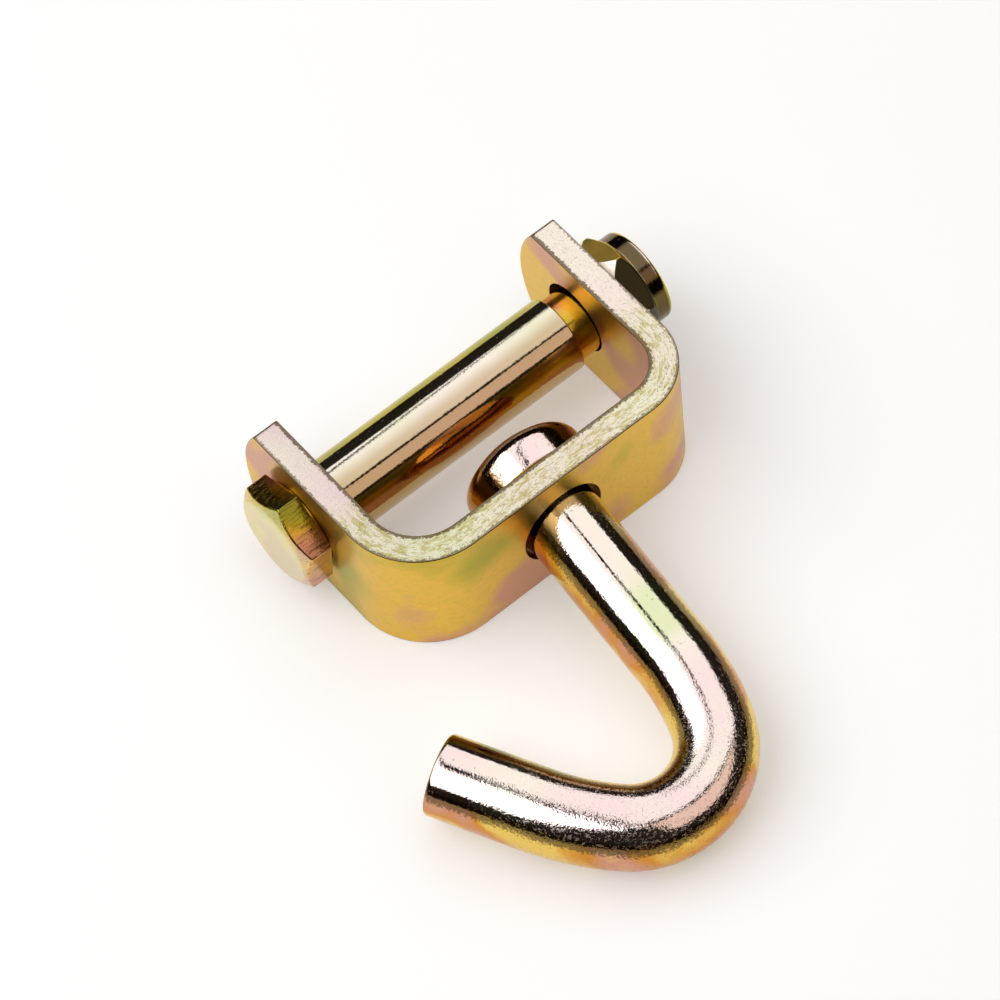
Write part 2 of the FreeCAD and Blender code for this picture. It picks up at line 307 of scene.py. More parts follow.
class Nodes:
    """Adds nodes to one tree."""

    def __init__(self, tree):
        self.tree = tree

    def add(self, kind, node_settings=None, inputs=None, output=0):
        """A node of that kind: its settings first, then its sockets' values or links."""
        node = self.tree.nodes.new(kind)
        for name, value in (node_settings or {}).items():
            if name == "stops":
                self.set_stops(node.color_ramp, value)
            else:
                setattr(node, name, value)
        for key, value in (inputs or {}).items():
            if isinstance(value, Wire):
                self.tree.links.new(value.socket, node.inputs[key])
            else:
                node.inputs[key].default_value = value
        return Wire(self, node.outputs[output]) if node.outputs else None

    @staticmethod
    def set_stops(ramp, stops):
        """Gives a colour ramp its (position, colour) stops."""
        while len(ramp.elements) < len(stops):
            ramp.elements.new(1.0)
        for element, (position, tint) in zip(ramp.elements, stops):
            element.position = position
            element.color = (*tint, 1.0)

    def maths(self, operation, *values):
        """A sum on numbers and wires."""
        return self.add("ShaderNodeMath", {"operation": operation}, dict(enumerate(values)))

    def vector(self, operation, *values):
        """A sum on vectors."""
        return self.add("ShaderNodeVectorMath", {"operation": operation}, dict(enumerate(values)))

    def parts(self, vector):
        """The x, y and z of a vector."""
        split = self.add("ShaderNodeSeparateXYZ", None, {0: vector})
        return split, split.output("Y"), split.output("Z")

    def join(self, x, y, z):
        """A vector of three numbers."""
        return self.add("ShaderNodeCombineXYZ", None, {0: x, 1: y, 2: z})

    def noise(self, place, scale, detail=2.0, roughness=0.5, distortion=0.0, stretch=None):
        """Smooth noise from 0 to 1; scale is in cycles per unit of the place given."""
        if stretch:
            place = self.vector("MULTIPLY", place, stretch)
        return self.add("ShaderNodeTexNoise", None, {
            "Vector": place, "Scale": scale, "Detail": detail,
            "Roughness": roughness, "Distortion": distortion})

    def mix(self, factor, first, second):
        """Two colours mixed by a factor."""
        return self.add("ShaderNodeMix", {"data_type": "RGBA"}, {0: factor, 6: first, 7: second}, 2)


def rgba(tint):
    """A colour with full alpha."""
    return (*tint, 1.0)


# ---- plating -------------------------------------------------------------------------------------

# Places and relief are in millimetres here and noise scales in cycles per millimetre. The limits of
# a ramp on a direction are cosines.

# The way that a piece's painted highlight faces, in the piece's own axes: pale colour painted
# where the surface faces this way stands in for the soft boxes' reflection.
PAINTED_HIGHLIGHT_SIDE = (-0.12, -0.15, 0.98)


def new_material(name):
    """An empty node material and its builder."""
    material = bpy.data.materials.new(name)
    material.use_nodes = True
    material.node_tree.nodes.clear()
    return material, Nodes(material.node_tree)


def place_on(nodes, attribute=None):
    """Where a point lies, in millimetres: on the object, or by the attribute that a piece carries."""
    if attribute:
        place = nodes.add("ShaderNodeAttribute", {"attribute_name": attribute}, None, "Vector")
    else:
        place = nodes.add("ShaderNodeTexCoord", None, None, "Object")
    return nodes.vector("MULTIPLY", place, (1 / MM, 1 / MM, 1 / MM))


def facing(nodes):
    """The surface's direction in the piece's own axes, as x, y and z."""
    return nodes.parts(nodes.add("ShaderNodeTexCoord", None, None, "Normal"))


def film_clouds(nodes, place, size, bands):
    """Colour bands of the film, running through slow clouds of that size in millimetres."""
    slow = nodes.noise(place, 1 / size, 1.5, 0.5, 0.2)
    fine = nodes.noise(place, 5 / size, 3.0, 0.6)
    level = slow + (fine - 0.5) * 0.10
    return nodes.add("ShaderNodeValToRGB", {"stops": bands}, {"Fac": level})


def rolled_bands(plating):
    """Film on the rolled faces: gold and olive, with soft rose patches."""
    return [
        (0.28, plating.green), (0.36, plating.olive), (0.44, plating.gold), (0.52, plating.gold),
        (0.59, plating.rose), (0.65, plating.rose), (0.74, plating.gold)]


def drawn_bands(plating):
    """Film on the drawn bar: yellow, with green, orange and rose patches."""
    return [
        (0.30, plating.green), (0.39, plating.yellow), (0.50, plating.yellow),
        (0.56, plating.orange), (0.63, plating.rose), (0.74, plating.yellow)]


def forged_bands(plating):
    """Film on the cold-headed bolt: green, olive and gold, with rose patches."""
    return [
        (0.32, plating.green), (0.44, plating.olive), (0.54, plating.gold), (0.64, plating.rose)]


def highlight_bands(plating):
    """The pale colours painted as a highlight, standing in for the soft boxes' reflection."""
    return [
        (0.29, plating.pale_green), (0.39, plating.cream),
        (0.52, plating.pale_rose), (0.66, plating.cream)]


def specks(nodes, place, per_mm, least):
    """1 in small ragged specks, 0 elsewhere; a higher least level leaves fewer of them."""
    return nodes.noise(place, per_mm, 3.0, 0.7).ramp(least, least + 0.05)


def painted_highlight_facing(nodes):
    """How far the surface faces the side where a piece's highlight is painted in pale colours, -1 to 1.
    """
    direction = nodes.add("ShaderNodeTexCoord", None, None, "Normal")
    return nodes.add(
        "ShaderNodeVectorMath", {"operation": "DOT_PRODUCT"}, {0: direction, 1: PAINTED_HIGHLIGHT_SIDE}, "Value")


def finish_surface(material, nodes, base, roughness, height, metallic=1.0):
    """Joins colour, roughness and relief in millimetres to the material's output."""
    relief = nodes.add("ShaderNodeBump", None, {"Strength": 1.0, "Distance": MM, "Height": height})
    surface = nodes.add("ShaderNodeBsdfPrincipled", None, {
        "Base Color": base, "Roughness": roughness, "Metallic": metallic, "Normal": relief})
    nodes.add("ShaderNodeOutputMaterial", None, {"Surface": surface})
    return material


def hook_plating(reaches):
    """Bright chromate on drawn bar: a painted highlight in pale colours on top, yellow and orange
    beside it, grained in patches.

    The upset head carries the thickest, copper-coloured film, a grained brown band painted along
    both shoulders of the bar stands in for a dark reflection, and the tip is sawn. The reaches come
    from bar_reaches.
    """
    plating = settings().plating
    material, nodes = new_material("hook_chromate")
    place = place_on(nodes, "bar_place")
    top = painted_highlight_facing(nodes)
    along = nodes.parts(place)[2]
    patch = nodes.noise(place, 0.09, 2.0)
    fray = nodes.noise(place, 2.4, 3.0, 0.7)
    head_end, bend_start, bend_end, tip = [reach / MM for reach in reaches]
    head = 1 - along.ramp(head_end + 0.3, head_end + 1.8)
    # Painted highlight: pale colours where the bar faces the soft boxes, narrower on the head.
    pale = (top - head * 0.12 + (patch - 0.5) * 0.08 + (fray - 0.5) * 0.25).ramp(0.72, 0.80)
    # Painted dark reflection: a grained brown band along both shoulders, beside the highlight.
    dark_reflection_band = (top + (patch - 0.5) * 0.15 + (fray - 0.5) * 0.45).ramp(0.50, 0.58) * (1 - pale)
    sides = nodes.mix(
        head, film_clouds(nodes, place, 15.0, drawn_bands(plating)),
        film_clouds(nodes, place, 14.0, [
            (0.36, plating.copper), (0.52, plating.orange), (0.66, plating.copper)]))
    sides = nodes.mix(dark_reflection_band * 0.8, sides, rgba(plating.brown))
    base = nodes.mix(pale, sides, film_clouds(nodes, place, 30.0, highlight_bands(plating)))
    sawn = along.ramp(tip - 0.45, tip - 0.25)
    cuts = nodes.noise(place, 2.2, 2.0, 0.6, stretch=(1.0, 0.06, 0.06))
    base = nodes.mix(sawn * cuts.ramp(0.35, 0.70) * 0.7, base, rgba(plating.brown))
    die_lines = nodes.noise(place, 1.6, 2.0, 0.6, stretch=(1.0, 1.0, 0.03))
    grain = nodes.noise(place, 2.6, 1.0, 0.5)
    in_bend = along.ramp(bend_start - 9.0, bend_start + 7.0)
    in_bend = in_bend * (1 - along.ramp(bend_end + 11.5, bend_end + 27.5))
    grain_patch = nodes.noise(place, 0.10, 1.5).ramp(0.38, 0.60) + in_bend
    spots = specks(nodes, place, 1.9, 0.68)
    dulled = specks(nodes, place, 2.2, 0.54) * (0.35 * (1 - pale) + 0.65 * in_bend)
    base = nodes.mix(spots * 0.7, base, rgba(plating.brown))
    height = grain * (0.012 + 0.014 * grain_patch) + die_lines * 0.006 - spots * 0.02
    height = height + sawn * cuts * 0.05
    roughness = 0.05 + 0.03 * grain_patch + 0.2 * spots + 0.34 * dulled + 0.22 * sawn
    return finish_surface(material, nodes, base, roughness, height)


def bracket_plating():
    """Satin chromate on rolled flat bar: gritty long edges painted pale as a highlight, and a painted
    dark reflection on the rounded edges and along the borders of the long edges.

    The edges of the base and the bends, worked the most, are greener and more streaked.
    """
    plating = settings().plating
    material, nodes = new_material("bracket_chromate")
    place = place_on(nodes, "blank_place")
    across = abs(facing(nodes)[2])
    edge = across.ramp(0.90, 0.985)
    fray = nodes.noise(place, 2.2, 3.0, 0.7)
    # Painted dark reflection: the rounded edges between the faces and the long edges turn brown.
    rounds = (across + (fray - 0.5) * 0.3).ramp(0.12, 0.25) * (1 - edge)
    along, through, _ = nodes.parts(place)
    ear_start = plate_plan()[-1]["ear_start"] / MM
    worked = 1 - abs(along).ramp(ear_start, ear_start + 8.0)
    mottle = nodes.noise(place, 1.4, 4.0, 0.65)
    faces = film_clouds(nodes, place, 24.0, rolled_bands(plating))
    faces = nodes.mix(mottle.ramp(0.40, 0.75) * 0.35, faces, rgba(plating.olive))
    # Painted highlight: the long edges take pale colours, greener towards the base and the bends.
    cut = nodes.mix(
        worked * 0.45, film_clouds(nodes, place, 36.0, highlight_bands(plating)), rgba(plating.pale_green))
    scale = nodes.noise(place, 0.35, 3.0, 0.6).ramp(0.35, 0.70)
    grit = nodes.noise(place, 4.2, 2.0, 0.6, stretch=(0.5, 1.0, 1.0))
    streaks = nodes.noise(place, 1.8, 3.0, 0.7, stretch=(0.25, 1.0, 1.0))
    grain = nodes.noise(place, 2.4, 3.0, 0.6)
    base = nodes.mix(edge, faces, cut)
    dirt = (grit + 0.08 * scale + 0.03 * worked).ramp(0.58, 0.74)
    base = nodes.mix(edge * dirt * (0.10 + 0.30 * worked), base, rgba(plating.brown))
    base = nodes.mix(edge * worked * streaks.ramp(0.46, 0.62) * 0.65, base, rgba(plating.olive))
    # Painted dark reflection: brown lines along both borders of each long edge.
    inward = through + (fray - 0.5) * 1.6
    skin = settings().bracket.thickness / 2 / MM
    inner_dark_line = inward.ramp(skin - 0.80, skin - 0.55)
    outer_dark_line = (-inward).ramp(skin - 0.55, skin - 0.35)
    base = nodes.mix(edge * (inner_dark_line * 0.85 + outer_dark_line * 0.7), base, rgba(plating.brown))
    # Painted dark reflection in brown on the rounded edges.
    base = nodes.mix(rounds * 0.95, base, rgba(plating.brown))
    height = grain * (0.012 - 0.006 * edge) + mottle * 0.012 * (1 - edge) - edge * dirt * 0.005
    roughness = 0.34 - 0.10 * edge - 0.14 * rounds + 0.1 * (grain - 0.5) + 0.2 * dirt * edge
    return finish_surface(material, nodes, base, roughness, height)


def sleeve_plating():
    """Bright chromate on drawn tube, with faint lines along it.

    A painted highlight in pale colours lies on the +Z side, the film is green towards the ear tips,
    and a painted reflection of the bracket in tan and brown lies towards the hook.
    """
    plating = settings().plating
    material, nodes = new_material("sleeve_chromate")
    place = place_on(nodes)
    tipward = facing(nodes)[1]
    patch = nodes.noise(place, 0.08, 2.0)
    fray = nodes.noise(place, 2.2, 3.0, 0.7)
    # Painted highlight: pale colours where the tube faces the soft boxes.
    pale = (painted_highlight_facing(nodes) + (patch - 0.5) * 0.1 + (fray - 0.5) * 0.12).ramp(0.74, 0.84)
    sides = film_clouds(nodes, place, 24.0, [
        (0.36, plating.olive), (0.48, plating.gold), (0.58, plating.olive), (0.68, plating.rose)])
    # Painted dark reflection: brown on the side towards the hook.
    lower = (-tipward + (patch - 0.5) * 0.3).ramp(0.55, 0.75)
    sides = nodes.mix(lower * 0.5, sides, rgba(plating.brown))
    sides = nodes.mix(tipward.ramp(0.30, 0.60) * 0.5, sides, rgba(plating.green))
    base = nodes.mix(pale, sides, film_clouds(nodes, place, 34.0, [
        (0.34, plating.pale_green), (0.44, plating.cream), (0.62, plating.cream),
        (0.72, plating.pale_rose)]))
    # Painted reflection of the bracket: tan over the side towards the hook.
    bracket_reflection = (-tipward + (patch - 0.5) * 0.25).ramp(-0.10, 0.35)
    base = nodes.mix(bracket_reflection * 0.75, base, rgba(plating.tan))
    lines = nodes.noise(place, 1.8, 3.0, 0.6, stretch=(0.02, 1.0, 1.0))
    grain = nodes.noise(place, 2.0, 1.0, 0.5)
    spots = specks(nodes, place, 2.0, 0.70)
    base = nodes.mix(spots * 0.6, base, rgba(plating.brown))
    height = lines * 0.007 + grain * 0.009 - spots * 0.01
    return finish_surface(material, nodes, base, 0.06 + 0.05 * lines + 0.2 * spots, height)


def trim_marks(nodes, place):
    """Marks of the trimming die, along the flats."""
    return nodes.noise(place, 2.2, 3.0, 0.65, stretch=(0.12, 1.0, 1.0))


def bolt_plating():
    """Chromate on the cold-headed bolt: satin pale end, trim marks along the flats."""
    plating = settings().plating
    material, nodes = new_material("bolt_chromate")
    place = place_on(nodes)
    bearing = (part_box("cross_bolt")[0].x + settings().bolt.head_height) / MM
    end_face = abs(facing(nodes)[0]).ramp(0.75, 0.95)
    shifted = nodes.vector("ADD", place, (5.0, 3.0, 9.0))
    clouds = film_clouds(nodes, shifted, 13.0, forged_bands(plating))
    trimmed = (1 - end_face) * (1 - nodes.parts(place)[0].ramp(bearing - 1.0, bearing))
    marks = trim_marks(nodes, place)
    grain = nodes.noise(place, 2.4, 2.0, 0.6)
    spots = specks(nodes, place, 2.0, 0.67)
    base = nodes.mix(end_face * 0.6, clouds, rgba(plating.pale_green))
    base = nodes.mix(trimmed * marks.ramp(0.50, 0.66) * 0.7, base, rgba(plating.brown))
    base = nodes.mix(spots * 0.6, base, rgba(plating.brown))
    height = grain * 0.015 + trimmed * marks * 0.06 - spots * 0.015
    roughness = 0.14 + 0.16 * end_face + 0.2 * spots
    return finish_surface(material, nodes, base, roughness, height)


def nut_plating():
    """Chromate on the cold-formed nut: matt olive hexagon with black painted on its -Y flats as a
    dark reflection, brown neck, and cream painted on the lip and bearing chamfer as a highlight.
    """
    plating = settings().plating
    material, nodes = new_material("nut_chromate")
    place = place_on(nodes)
    low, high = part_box("lock_nut")
    hex_end, end = (low.x + settings().nut.hex_height) / MM, high.x / MM
    along = nodes.parts(place)[0]
    x_face, y_face, _ = facing(nodes)
    hexagon = 1 - along.ramp(hex_end - 0.2, hex_end + 0.1)
    patch = nodes.noise(place, 0.25, 2.0)
    grain = nodes.noise(place, 2.4, 3.0, 0.65)
    # Painted dark reflection: black on the hexagon's flats that face -Y.
    dark_reflection_flats = (-y_face + (grain - 0.5) * 0.4).ramp(0.16, 0.32) * hexagon
    # Painted highlight: cream on the collar's side facing the soft boxes and on the bearing chamfer's
    # corners facing -X.
    top = (painted_highlight_facing(nodes) + (grain - 0.5) * 0.2).ramp(0.80, 0.88) * (1 - hexagon)
    seat_cone_highlight = (-x_face).ramp(0.18, 0.32) * hexagon
    shifted = nodes.vector("ADD", place, (21.0, 3.0, 9.0))
    base = film_clouds(nodes, shifted, 13.0, [
        (0.36, plating.green), (0.48, plating.olive), (0.62, plating.gold)])
    base = nodes.mix(dark_reflection_flats, base, rgba(plating.dark_reflection_black))
    neck = (1 - hexagon) * (1 - along.ramp(end - 0.8, end - 0.4))
    base = nodes.mix(top + seat_cone_highlight, base, rgba(plating.cream))
    base = nodes.mix(neck * 0.96, base, rgba(plating.brown))
    spots = specks(nodes, place, 2.0, 0.67)
    base = nodes.mix(spots * 0.6, base, rgba(plating.brown))
    marks = trim_marks(nodes, place)
    height = grain * 0.02 + hexagon * marks * 0.04 - spots * 0.015
    roughness = 0.08 + hexagon * (0.20 + 0.2 * patch) + 0.2 * spots
    return finish_surface(material, nodes, base, roughness, height)


def nylon_ring():
    """Natural nylon, faintly mottled."""
    plating = settings().plating
    material, nodes = new_material("natural_nylon")
    place = place_on(nodes)
    mottle = nodes.noise(place, 0.5, 2.0)
    base = nodes.mix(mottle * 0.3, rgba(plating.nylon), rgba(plating.cream))
    grain = nodes.noise(place, 3.0, 2.0)
    return finish_surface(material, nodes, base, 0.42 + 0.1 * mottle, grain * 0.004, 0.0)


# ---- outlines and turned bodies ------------------------------------------------------------------

CORNER_STEPS = 4
SUPPORT_SHARE = 0.35   # of a round's size, from the round to its point of support
LONGEST_ROUND = 0.45   # of the stretch on either side of a corner


def eased(corners, closed=False):
    """Points of an outline whose corners are rounded.

    Each corner is ((a, b), size). A point of support stands just outside each round, so that the
    stretch beside it shades flat.
    """
    points = []
    count = len(corners)
    for index, (here, size) in enumerate(corners):
        at_end = not closed and index in (0, count - 1)
        here = Vector(here)
        if at_end or size == 0:
            points.append(here)
            continue
        before = Vector(corners[index - 1][0]) - here
        after = Vector(corners[(index + 1) % count][0]) - here
        size = min(size, LONGEST_ROUND * before.length, LONGEST_ROUND * after.length)
        start = here + before.normalized() * size
        end = here + after.normalized() * size
        support = SUPPORT_SHARE * size
        points.append(start + before.normalized() * support)
        for step in range(CORNER_STEPS + 1):
            t = step / CORNER_STEPS
            points.append(start * (1 - t) ** 2 + here * 2 * t * (1 - t) + end * t ** 2)
        points.append(end + after.normalized() * support)
    return [(point.x, point.y) for point in points]


def round_angles(count):
    """Evenly spaced angles about the axis."""
    return [2 * math.pi * index / count for index in range(count)]


HEX_ROUND = 0.35 * MM
HEX_FLAT_STEPS = 12
HEX_MARGIN = 1.5   # degrees of flat that keep each rounded corner's shading apart


def hex_angles(flats, turn):
    """Angles about the axis, close together at the corners of a hexagon with rounded corners."""
    half = flats / 2
    tangent = math.degrees(math.atan((half - HEX_ROUND) / half * math.tan(math.radians(30))))
    corner = 30 - tangent
    steps = [-corner, -corner / 2, 0, corner / 2, corner]
    start, end = corner + HEX_MARGIN, 60 - corner - HEX_MARGIN
    steps += [start + (end - start) * index / HEX_FLAT_STEPS for index in range(HEX_FLAT_STEPS + 1)]
    return [turn + math.radians(60 * side + step) for side in range(6) for step in steps]


def hex_radius(flats, turn, theta):
    """Radius of a hexagon with rounded corners, one of which points at the turn."""
    half = flats / 2
    off_corner = (theta - turn + math.pi / 6) % (math.pi / 3) - math.pi / 6
    off_flat = math.pi / 6 - abs(off_corner)
    straight = half / math.cos(off_flat)
    middle = (half - HEX_ROUND) / math.cos(math.pi / 6)
    beyond = HEX_ROUND ** 2 - (middle * math.sin(off_corner)) ** 2
    if beyond < 0:
        return straight
    return min(straight, middle * math.cos(off_corner) + math.sqrt(beyond))


def lathe_mesh(name, outline_at, angles, closed):
    """Mesh of a body about the X axis.

    outline_at gives the (x, radius) outline at an angle. A closed outline makes a ring; an open one
    starts and ends on the axis.
    """
    columns = [outline_at(theta) for theta in angles]
    rows = len(columns[0])
    verts, faces = [], []
    first, last = (0, rows) if closed else (1, rows - 1)
    for column, theta in zip(columns, angles):
        for x, radius in column[first:last]:
            verts.append((x, radius * math.cos(theta), radius * math.sin(theta)))
    height = last - first
    count = len(angles)

    def at(column, row):
        return (column % count) * height + row % height

    for column in range(count):
        for row in range(height if closed else height - 1):
            faces.append((
                at(column, row), at(column + 1, row), at(column + 1, row + 1), at(column, row + 1)))
    if not closed:
        start, end = len(verts), len(verts) + 1
        verts += [(columns[0][0][0], 0, 0), (columns[0][-1][0], 0, 0)]
        for column in range(count):
            faces.append((start, at(column + 1, 0), at(column, 0)))
            faces.append((end, at(column, height - 1), at(column + 1, height - 1)))
    return mesh_of(name, verts, faces)


def mesh_of(name, verts, faces):
    """Mesh whose faces all point outwards, smooth-shaded but for its large flat faces."""
    mesh = bpy.data.meshes.new(name)
    mesh.from_pydata(verts, [], faces)
    body = bmesh.new()
    body.from_mesh(mesh)
    bmesh.ops.recalc_face_normals(body, faces=body.faces)
    body.to_mesh(mesh)
    body.free()
    mesh.shade_smooth()
    for polygon in mesh.polygons:
        polygon.use_smooth = len(polygon.vertices) <= 4
    return mesh


def add_piece(name, mesh, body, node, material):
    """Puts a finished mesh in the scene in place of its CAD node."""
    piece = bpy.data.objects.new(name, mesh)
    bpy.context.scene.collection.objects.link(piece)
    mesh.materials.clear()
    mesh.materials.append(material)
    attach(piece, body)
    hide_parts(node)
    return piece


# ---- geometry node trees -------------------------------------------------------------------------

def new_tree(name, inputs):
    """A geometry node tree with named inputs after its geometry, and wires for all of them."""
    tree = bpy.data.node_groups.new(name, "GeometryNodeTree")
    tree.interface.new_socket("Geometry", in_out="INPUT", socket_type="NodeSocketGeometry")
    tree.interface.new_socket("Geometry", in_out="OUTPUT", socket_type="NodeSocketGeometry")
    for label, kind in inputs.items():
        tree.interface.new_socket(label, in_out="INPUT", socket_type=kind)
    nodes = Nodes(tree)
    entry = nodes.add("NodeGroupInput")
    return tree, nodes, entry, {label: entry.output(label) for label in inputs}


def close_tree(nodes, geometry, material):
    """Ends a tree in real geometry with its material."""
    real = nodes.add("GeometryNodeRealizeInstances", None, {0: geometry})
    painted = nodes.add("GeometryNodeSetMaterial", None, {"Geometry": real, "Material": material})
    nodes.add("NodeGroupOutput", None, {0: painted})


def run_tree(name, data, tree, values):
    """The plain mesh that a tree makes of an object's data."""
    blank = bpy.data.objects.new(name + "_blank", data)
    bpy.context.scene.collection.objects.link(blank)
    modifier = blank.modifiers.new("shape", "NODES")
    modifier.node_group = tree
    for item in tree.interface.items_tree:
        if item.in_out == "INPUT" and item.name in values:
            modifier[item.identifier] = values[item.name]
    evaluated = blank.evaluated_get(bpy.context.evaluated_depsgraph_get())
    mesh = bpy.data.meshes.new_from_object(evaluated)
    mesh.name = name
    blank.modifiers.remove(modifier)
    bpy.data.objects.remove(blank)
    return mesh


def thread_tree():
    """Cuts a helical groove into the vertices that carry a thread share."""
    tree, nodes, entry, value = new_tree("cut_thread", {
        "Pitch": "NodeSocketFloat", "Depth": "NodeSocketFloat", "Origin": "NodeSocketFloat",
        "Material": "NodeSocketMaterial"})
    cut = nodes.add("GeometryNodeInputNamedAttribute", {"data_type": "FLOAT"}, {"Name": "thread_share"})
    x, y, z = nodes.parts(nodes.add("GeometryNodeInputPosition"))
    radius = nodes.maths("SQRT", y * y + z * z)
    turns = nodes.maths("ARCTAN2", z, y) / (2 * math.pi)
    phase = nodes.maths("FRACT", (x - value["Origin"]) / value["Pitch"] - turns)
    off_crest = abs(phase - 0.5) * 2
    groove = 1 - off_crest.ramp(0.16, 0.9)
    shrink = cut * value["Depth"] * groove / radius
    moved = nodes.vector("MULTIPLY", nodes.join(0.0, y, z), nodes.join(shrink, shrink, shrink))
    inward = nodes.vector("MULTIPLY", moved, (-1.0, -1.0, -1.0))
    threaded = nodes.add("GeometryNodeSetPosition", None, {"Geometry": entry, "Offset": inward})
    close_tree(nodes, threaded, value["Material"])
    return tree


def give_thread_share(mesh, start, end, runout, radius_limit):
    """Marks how deep the groove runs at each vertex between start and end."""
    attribute = mesh.attributes.new("thread_share", "FLOAT", "POINT")
    for vertex, item in zip(mesh.vertices, attribute.data):
        x = vertex.co.x
        near_axis = math.hypot(vertex.co.y, vertex.co.z) <= radius_limit
        rise = min(1.0, max(0.0, (x - start) / runout))
        fall = min(1.0, max(0.0, (end - x) / runout))
        item.value = min(rise, fall) if near_axis else 0.0


def cut_thread(name, mesh, material):
    """Runs the thread tree on a marked mesh."""
    bolt = settings().bolt
    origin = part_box("cross_bolt")[1].x
    return run_tree(name, mesh, thread_tree(), {
        "Pitch": bolt.thread_pitch, "Depth": bolt.thread_depth, "Origin": origin,
        "Material": material})


THREAD_STEPS_PER_PITCH = 14
THREAD_RUNOUT = 0.4 * MM
RING_RUNOUT = 0.5 * MM
BORE_TOLERANCE = 0.02 * MM
RING_SIDES = 96


def thread_rows(start, end, radius):
    """Closely spaced outline points along a threaded stretch, in either direction."""
    pitch = settings().bolt.thread_pitch
    count = max(2, round(abs(end - start) / pitch * THREAD_STEPS_PER_PITCH))
    return [((start + (end - start) * index / count, radius), 0) for index in range(1, count)]


# ---- cross bolt, lock nut and nylon ring ---------------------------------------------------------

class SWIVELHOOK_OT_cross_bolt(bpy.types.Operator):
    """Make the cross bolt: trimmed hexagon head, washer face, plain shank and rolled thread"""

    bl_idname = "swivelhook.cross_bolt"
    bl_label = "Cross bolt"

    def execute(self, context):
        bolt = settings().bolt
        low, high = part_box("cross_bolt")
        face, end = low.x, high.x
        bearing = face + bolt.head_height
        hex_start = bearing - bolt.washer_height
        face_radius = bolt.face_share * bolt.flats / 2
        washer_radius = bolt.flats / 2 - bolt.washer_inset
        slope = math.tan(bolt.chamfer)
        thread_start = end - bolt.thread_length

        def outline_at(theta):
            side = hex_radius(bolt.flats, bolt.head_turn, theta)
            corners = [
                ((face, 0), 0),
                ((face, face_radius), bolt.face_round),
                ((face + (side - face_radius) * slope, side), bolt.side_round),
                ((hex_start, side), bolt.back_round),
                ((hex_start, washer_radius), bolt.washer_round),
                ((bearing, washer_radius), bolt.washer_round),
                ((bearing, bolt.radius), bolt.fillet),
                ((thread_start - bolt.thread_step, bolt.radius), bolt.thread_round),
                ((thread_start, bolt.thread_radius), bolt.thread_round),
            ]
            chamfer = end - bolt.end_chamfer
            corners += thread_rows(thread_start, chamfer, bolt.thread_radius)
            corners += [
                ((chamfer, bolt.thread_radius), bolt.end_round),
                ((end, bolt.thread_radius - bolt.end_chamfer), bolt.end_round),
                ((end, 0), 0),
            ]
            return eased(corners)

        mesh = lathe_mesh("cross_bolt", outline_at, hex_angles(bolt.flats, bolt.head_turn), False)
        # The groove runs off the end, so its run-out lies beyond it.
        give_thread_share(mesh, thread_start, end + bolt.thread_pitch, bolt.thread_pitch, math.inf)
        limit_end_cut(mesh, bolt)
        material = bolt_plating()
        mesh = cut_thread("cross_bolt_finished", mesh, material)
        add_piece("cross_bolt_finished", mesh, "bolt", "cross_bolt", material)
        return {"FINISHED"}


def limit_end_cut(mesh, bolt):
    """The end chamfer already takes most of the groove's depth away, so the cut there is shallower."""
    root = bolt.thread_radius - bolt.thread_depth
    for vertex, item in zip(mesh.vertices, mesh.attributes["thread_share"].data):
        radius = math.hypot(vertex.co.y, vertex.co.z)
        spare = max(0.0, radius - root) / bolt.thread_depth
        item.value = min(item.value, spare)


class SWIVELHOOK_OT_lock_nut(bpy.types.Operator):
    """Make the lock nut with its hexagon, rolled collar and threaded bore"""

    bl_idname = "swivelhook.lock_nut"
    bl_label = "Lock nut"

    def execute(self, context):
        nut = settings().nut
        low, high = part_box("lock_nut")
        start, end = low.x, high.x
        hex_end = start + nut.hex_height
        seat_radius = nut.seat_share * nut.flats / 2
        face_radius = nut.face_share * nut.flats / 2
        seat_slope = math.tan(nut.seat_chamfer)
        face_slope = math.tan(nut.face_chamfer)
        ring_end = end - nut.lip
        ring_start = ring_end - nut.insert_length
        collar_start = hex_end - (nut.collar_radius - face_radius) * face_slope

        def outline_at(theta):
            side = hex_radius(nut.flats, nut.turn, theta)
            corners = [
                ((start, nut.bore_radius + nut.countersink), nut.bore_round),
                ((start, seat_radius), nut.seat_round),
                ((start + (side - seat_radius) * seat_slope, side), nut.side_round),
                ((hex_end - (side - face_radius) * face_slope, side), nut.side_round),
                ((collar_start, nut.collar_radius), nut.neck_round),
                ((end, nut.collar_radius), nut.collar_round),
                ((end, nut.mouth_radius), nut.neck_round),
                ((ring_end, nut.mouth_radius), nut.pocket_round),
                ((ring_end, nut.insert_radius), nut.pocket_round),
                ((ring_start, nut.insert_radius), nut.pocket_round),
                ((ring_start, nut.bore_radius), nut.pocket_round),
            ]
            corners += thread_rows(ring_start, start + nut.countersink, nut.bore_radius)
            corners += [((start + nut.countersink, nut.bore_radius), nut.bore_round)]
            return eased(corners, True)

        mesh = lathe_mesh("lock_nut", outline_at, hex_angles(nut.flats, nut.turn), True)
        give_thread_share(
            mesh, -math.inf, ring_start, THREAD_RUNOUT, nut.bore_radius + BORE_TOLERANCE)
        material = nut_plating()
        mesh = cut_thread("lock_nut_finished", mesh, material)
        add_piece("lock_nut_finished", mesh, "bolt", "lock_nut", material)
        return {"FINISHED"}


